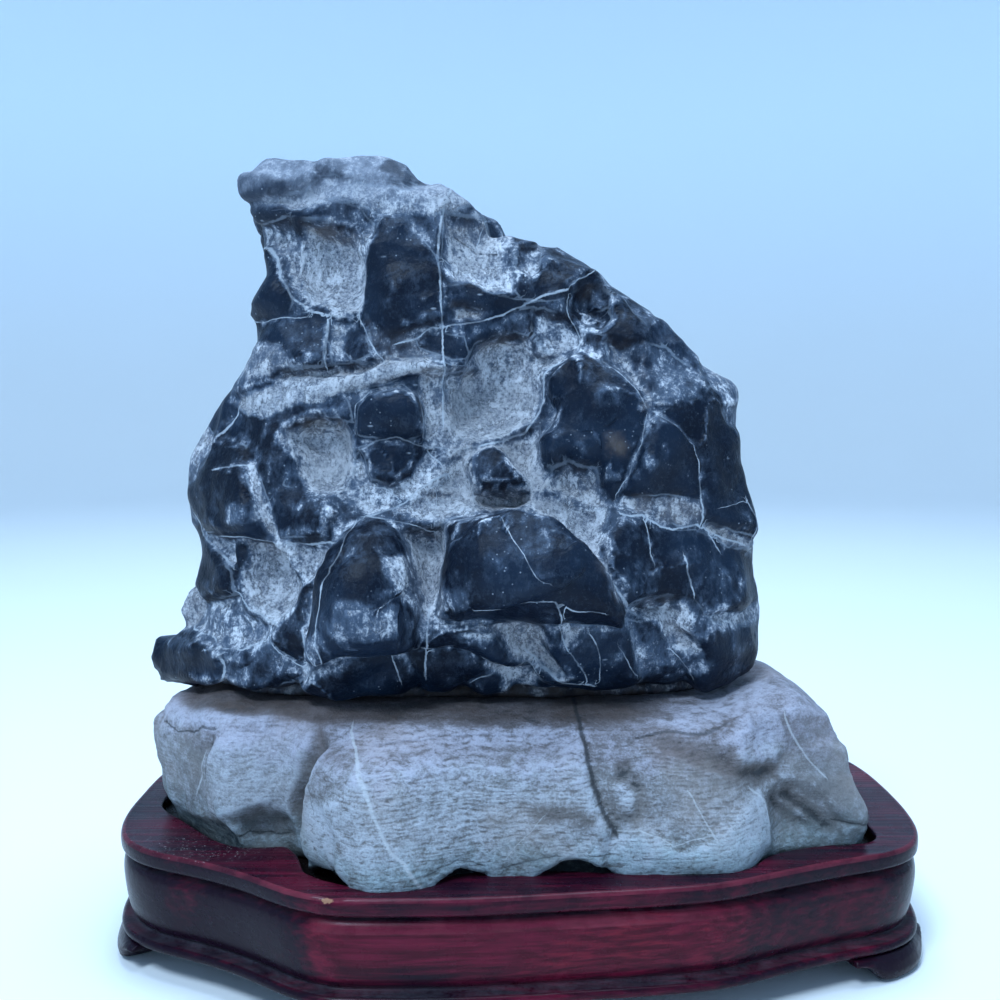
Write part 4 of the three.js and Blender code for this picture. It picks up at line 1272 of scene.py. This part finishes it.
def dark_limestone():
    m = Nodes("dark_limestone")
    crumb = m.noise(1.1, 6.0, 0.75)
    fine = m.noise(3.6, 7.0, 0.68, m.stretched((1.0, 1.0, 0.6)))
    medium = m.noise(7.0, 4.0, 0.6)
    broad = m.noise(30.0, 3.0, 0.5)
    pale = m.attribute("pale")

    # clean stone, under a thin grey film where it is a little pale
    body = m.mix(m.fade(broad, 0.38, 0.66), BLACK_STONE, BLUE_BLACK_STONE)
    film = m.fade(m.plus(pale, m.total((medium, 0.6), (fine, 0.9))), 0.12, 0.58)
    body = m.mix(film, body, GREY_FILM)

    # powder in the hollows, with bare crumbs and scratches in it
    powder = m.fade(m.times(m.plus(fine, crumb), 0.5), 0.38, 0.60)
    powder = m.mix(powder, GREY_POWDER, WHITE_POWDER)
    powder = m.tint(powder, m.fade(broad, 0.4, 0.75), 0.6, DULL_POWDER)
    grain = m.total((crumb, 1.1), (fine, 1.4), (medium, 0.5))
    dusty = m.fade(m.plus(pale, grain), 0.38, 0.88)
    color = m.mix(dusty, body, powder)
    crumbs = m.times(m.fade(crumb, 0.46, 0.34), m.fade(medium, 0.62, 0.42))
    color = m.tint(color, crumbs, 0.55, BARE_CRUMB)
    scratch = m.fade(m.math("ABSOLUTE", m.math("SUBTRACT", fine, 0.5)), 0.035, 0.01)
    scratch = m.times(scratch, m.fade(medium, 0.42, 0.6))
    color = m.tint(color, scratch, 0.6, SCRATCH)

    # the smoother crown, and brown: iron stain, and painted shade under ledges and at the top of hollows
    rubbed_tone = m.fade(m.plus(pale, m.total((fine, 0.9))), 0.08, 0.72)
    rubbed_stone = m.mix(rubbed_tone, RUBBED_DARK, RUBBED_LIGHT)
    color = m.tint(color, m.attribute("rubbed"), 0.62, rubbed_stone)
    brown = m.times(m.attribute("brown"), m.fade(medium, 0.28, 0.55))
    color = m.tint(color, brown, 0.75, IRON_STAIN_AND_SHADE)

    # veins, light rims round the shapes, and flakes
    vein = m.line("vein", "near_vein", m.total((crumb, 2.0), (fine, 2.0)), 0.95)
    vein = m.times(vein, m.plus(m.fade(m.noise(9.0, 3.0), 0.4, 0.6), 0.3))
    color = m.mix(m.math("MINIMUM", vein, 0.75), color, CALCITE)
    rim = m.line("rim", "near_rim", m.total((crumb, 0.9), (fine, 0.6)), 0.42)
    rim = m.times(rim, m.fade(m.noise(14.0, 2.0), 0.46, 0.6))
    color = m.tint(color, rim, 0.4, LIGHT_RIM)
    flakes = m.fade(m.cells(5.5, m.stretched((0.5, 0.5, 1.4))), 0.12, 0.05)
    specks = m.fade(m.cells(2.2), 0.16, 0.08)
    scatter = m.fade(m.total((broad, 1.0), (medium, 1.4)), 0.0, 0.2)
    flakes = m.times(m.math("MAXIMUM", flakes, specks), scatter)
    color = m.tint(color, flakes, 0.5, FLAKE)

    roughness = m.fade(dusty, 0.0, 0.7, 0.4, 0.9)
    normal = m.bump(m.noise(3.2, 5.0, 0.65), 1.0, 0.4)
    normal = m.bump(m.times(fine, pale), 3.0, 1.0, normal)
    return m.finish(color, roughness, normal, 0.13)


# Colors of the pale slab.
DARK_GRAIN = (0.045, 0.052, 0.060)
GREY_STONE = (0.17, 0.165, 0.17)
PALE_STONE = (0.46, 0.485, 0.545)
CREAM_STONE = (0.35, 0.30, 0.28)
COOL_FOOT = (0.84, 1.0, 1.0)
LAVENDER_TOP = (0.98, 0.93, 1.0)
# brown for stain and for painted shade: the contact shadow round the peak's foot and the tops of hollows
BROWN_STAIN_AND_SHADE = (0.085, 0.060, 0.052)
FURROW = (0.085, 0.075, 0.075)
WHITE_VEIN = (0.58, 0.60, 0.64)
CRACK = (0.025, 0.028, 0.033)


def pale_limestone():
    m = Nodes("pale_limestone")
    ripples = m.ripples(1.3, 16.0)
    wisps = m.noise(1.3, 4.0, 0.65, m.stretched((0.4, 0.4, 1.0)), 0.6)
    crumb = m.noise(0.7, 5.0, 0.7)
    coarse = m.noise(2.6, 6.0, 0.7)
    medium = m.noise(6.0, 4.0, 0.6)
    broad = m.noise(32.0, 3.0, 0.5)
    rippled = m.attribute("rippled")
    layers = m.tint(wisps, m.fade(m.noise(16.0, 2.0), 0.36, 0.56), 0.12, ripples)
    grain = m.times(m.total((layers, 1.1), (crumb, 0.6)), rippled)
    grain = m.plus(grain, m.total((crumb, 0.5), (coarse, 1.2), (medium, 0.5)))
    tone = m.plus(m.attribute("pale"), grain)

    # grey to pale stone, creamier in broad patches, cooler at its foot and warmer at its top
    color = m.mix(m.fade(tone, 0.0, 0.42), DARK_GRAIN, GREY_STONE)
    color = m.mix(m.fade(tone, 0.38, 1.2), color, PALE_STONE)
    color = m.tint(color, m.fade(broad, 0.45, 0.7), 0.4, CREAM_STONE)
    level = m.plus(m.place_parts()[2], m.times(medium, 0.02))
    color = m.mix(m.fade(level, 0.066, 0.05), color, COOL_FOOT, "MULTIPLY")
    color = m.mix(m.fade(level, 0.074, 0.088), color, LAVENDER_TOP, "MULTIPLY")

    # brown stain and painted shade, furrows, veins and cracks
    brown = m.times(m.attribute("brown"), m.fade(m.plus(medium, wisps), 0.55, 1.0))
    color = m.tint(color, brown, 0.85, BROWN_STAIN_AND_SHADE)
    furrows = m.times(m.fade(layers, 0.48, 0.26), m.fade(medium, 0.28, 0.55))
    color = m.tint(color, m.times(furrows, rippled), 0.6, FURROW)
    vein = m.line("vein", "near_vein", m.total((crumb, 1.4), (medium, 1.0)), 1.0)
    color = m.tint(color, vein, 0.6, WHITE_VEIN)
    crack = m.line("crack", "near_crack", m.total((crumb, 2.4), (medium, 1.6)), 1.2)
    color = m.tint(color, crack, 0.85, CRACK)

    roughness = m.fade(medium, 0.3, 0.7, 0.55, 0.75)
    normal = m.bump(m.times(layers, rippled), 0.9, 0.8)
    normal = m.bump(coarse, 1.8, 0.8, normal)
    return m.finish(color, roughness, normal, 0.4)


# How much the wood's grain is drawn out along the rim: lower is longer.
GRAIN_STRETCH = 0.06

# Colors of the lacquered wood.
DEEP_RED = (0.052, 0.003, 0.010)
DARK_RED = (0.120, 0.007, 0.024)
FRONT_LIT_RED = (0.180, 0.012, 0.022)
BLACK_LACQUER_AND_SHADE = (0.009, 0.003, 0.009)
DARK_FIBRE = (0.02, 0.006, 0.008)
WORN_RED_AND_HIGHLIGHT = (0.20, 0.034, 0.052)
RECESS_SHADE_BLACK = (0.006, 0.004, 0.004)
GROOVE_DUST = (0.11, 0.115, 0.135)
PALE_SPECK = (0.55, 0.53, 0.52)
CHIPPED_WOOD = (0.30, 0.15, 0.09)


def lacquered_wood():
    m = Nodes("lacquered_wood")
    place = m.add("ShaderNodeCombineXYZ")
    parts = m.place_parts()
    m.link(m.times(m.attribute("along"), GRAIN_STRETCH * MM), place.inputs[0])
    m.link(parts[1], place.inputs[1])
    m.link(parts[2], place.inputs[2])
    grain = m.noise(1.6, 5.0, 0.6, place.outputs[0], 0.3)
    fibres = m.noise(0.5, 4.0, 0.6, place.outputs[0])
    broad = m.noise(40.0, 3.0, 0.5)
    medium = m.noise(6.0, 4.0, 0.6)
    speck = m.noise(0.8, 4.0, 0.7)
    front = m.attribute("front")
    wear = m.attribute("wear")

    # grained red wood under lacquer, with painted light on the front and painted shade away from it
    color = m.mix(m.fade(grain, 0.3, 0.7), DEEP_RED, DARK_RED)
    streaks = m.fade(m.total((broad, 0.9), (grain, 0.9)), 0.0, 0.35)
    # painted light: bright red on the front
    color = m.mix(m.times(streaks, m.fade(front, 0.4, 0.9)), color, FRONT_LIT_RED)
    patches = m.total((broad, 1.5), (medium, 0.2), (grain, 1.0))
    shade = m.math("SUBTRACT", m.math("SUBTRACT", 0.95, front), patches)
    # painted shade away from the front, and dark patches
    color = m.mix(m.fade(shade, 0.0, 0.9), color, BLACK_LACQUER_AND_SHADE)
    color = m.tint(color, m.fade(fibres, 0.56, 0.7), 0.4, DARK_FIBRE)

    # worn edges and a painted highlight along the cushion's top edge, painted shade in the
    #     recess, dust, specks and the chip
    rubs = m.fade(m.total((broad, 1.0), (medium, 0.8)), -0.2, 0.3, 0.3, 1.0)
    # worn red on the bead and lip, and a painted highlight on the cushion's top edge
    color = m.tint(color, m.times(m.fade(wear, 0.3, 1.0), rubs), 0.6, WORN_RED_AND_HIGHLIGHT)
    # painted shade in the recess
    color = m.mix(m.fade(wear, 0.0, -0.6), color, RECESS_SHADE_BLACK)
    dust = m.fade(m.total((speck, 1.0), (medium, 1.0)), -0.3, 0.3)
    dust = m.times(m.attribute("dust"), dust)
    color = m.tint(color, dust, 0.25, GROOVE_DUST)
    crumbs = m.times(m.fade(speck, 0.62, 0.68), m.attribute("specks"))
    color = m.tint(color, crumbs, 0.8, PALE_SPECK)
    chip = m.plus(m.attribute("chip"), m.total((medium, 5.0), (speck, 2.0)))
    color = m.mix(m.fade(chip, 1.1, 0.5), color, CHIPPED_WOOD)

    roughness = m.fade(m.plus(dust, m.times(medium, 0.4)), 0.1, 0.9, 0.26, 0.7)
    normal = m.bump(grain, 0.2, 0.7)
    normal = m.bump(fibres, 0.05, 0.5, normal)
    m.shader.inputs["Coat Weight"].default_value = 0.05
    m.shader.inputs["Coat Roughness"].default_value = 0.2
    return m.finish(color, roughness, normal, 0.1)


# ---------------------------------------------------------------- studio

CAMERA_PLACE = (-5.2 * MM, -378.3 * MM, 180.0 * MM)
CAMERA_PITCH = math.atan(0.1 / 1.1)
LENS = 39.6
SENSOR = 36.0
OBJECT_MIDDLE = (0.0, 0.0, 0.13)
WINDOW_BLUE = (0.60, 0.79, 1.0)
CEILING_BLUE = (0.58, 0.78, 1.0)
SKY_BLUE = (0.42, 0.68, 1.0, 1.0)

# The floor is flat out to one radius, then curves up by another into a wall. In metres.
FLAT_RADIUS = 1.7
CURVE_RADIUS = 0.9
WALL_TOP = 2.2
CURVE_SIDES = 14
ROUND_SIDES = 96
FLOOR_DARK = (0.86, 0.88, 0.89)
FLOOR_LIGHT = (0.89, 0.91, 0.92)
WALL_BLUE = (0.70, 0.84, 0.94)
WALL_GLOW = (0.5, 0.70, 1.0, 1.0)


def make_camera():
    camera = add_object("camera", bpy.data.cameras.new("camera"))
    camera.data.lens = LENS
    camera.data.sensor_width = SENSOR
    camera.data.clip_start = 0.01
    camera.location = CAMERA_PLACE
    camera.rotation_euler = (math.pi / 2 - CAMERA_PITCH, 0.0, 0.0)
    bpy.context.scene.camera = camera


def area_light(name, place, size, power, color):
    """A round lamp that faces the object."""
    light = add_object(name, bpy.data.lights.new(name, "AREA"))
    light.data.shape = "DISK"
    light.data.size = size
    light.data.energy = power
    light.data.color = color
    light.location = place
    aim = Vector(OBJECT_MIDDLE) - Vector(place)
    light.rotation_euler = aim.to_track_quat("-Z", "Y").to_euler()


def make_lights():
    area_light("front_window", (-0.45, -0.8, 1.4), 0.45, 20.0, WINDOW_BLUE)
    area_light("ceiling", (0.1, 0.1, 1.7), 1.1, 26.0, CEILING_BLUE)
    world = bpy.data.worlds.new("sky")
    bpy.context.scene.world = world
    world.use_nodes = True
    sky = world.node_tree.nodes["Background"]
    sky.inputs["Color"].default_value = SKY_BLUE
    sky.inputs["Strength"].default_value = 0.3


def floor_mesh():
    profile = [(0.0, 0.0), (FLAT_RADIUS, 0.0)]
    for step in range(1, CURVE_SIDES + 1):
        angle = step / CURVE_SIDES * math.pi / 2
        profile.append((FLAT_RADIUS + CURVE_RADIUS * math.sin(angle),
                        CURVE_RADIUS * (1 - math.cos(angle))))
    profile.append((FLAT_RADIUS + CURVE_RADIUS, WALL_TOP))
    mesh = bmesh.new()
    spine = [mesh.verts.new((radius, 0.0, height)) for radius, height in profile]
    edges = [mesh.edges.new(pair) for pair in zip(spine, spine[1:])]
    bmesh.ops.spin(mesh, geom=spine + edges, cent=(0, 0, 0), axis=(0, 0, 1),
                   angle=math.tau, steps=ROUND_SIDES)
    bmesh.ops.remove_doubles(mesh, verts=mesh.verts, dist=0.0001)
    bmesh.ops.recalc_face_normals(mesh, faces=mesh.faces)
    data = bpy.data.meshes.new("studio_floor")
    mesh.to_mesh(data)
    mesh.free()
    shade_smooth(data)
    return data


def floor_paint():
    m = Nodes("pale_floor")
    wall = m.fade(m.place_parts()[2], 0.0, 1.0)
    color = m.mix(m.noise(300.0, 1.0), FLOOR_DARK, FLOOR_LIGHT)
    m.link(m.mix(wall, color, WALL_BLUE), m.shader.inputs["Base Color"])
    m.link(m.times(wall, 0.22), m.shader.inputs["Emission Strength"])
    m.shader.inputs["Emission Color"].default_value = WALL_GLOW
    m.shader.inputs["Roughness"].default_value = 0.8
    m.material.cycles.emission_sampling = "NONE"
    return m.material


def make_floor():
    """A pale round studio floor that curves up into a wall, far from the object on every side."""
    floor = add_object("studio_floor", floor_mesh())
    floor.data.materials.append(floor_paint())


# ---------------------------------------------------------------- the scene

def stand_for(piece, node, material):
    piece.data.materials.clear()
    piece.data.materials.append(material)
    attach(piece, "root")
    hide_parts(node)


bpy.context.scene.view_settings.view_transform = "Standard"
make_camera()
make_lights()
make_floor()
stand_for(make_dark_stone(), "dark_stone", dark_limestone())
stand_for(make_pale_stone(), "pale_base_stone", pale_limestone())
wood = lacquered_wood()
stand_for(make_stand(), "stand_body", wood)
for corner in ("front_left", "front_right", "back_left", "back_right"):
    foot = "stand_foot_" + corner
    stand_for(make_foot(foot), foot, wood)
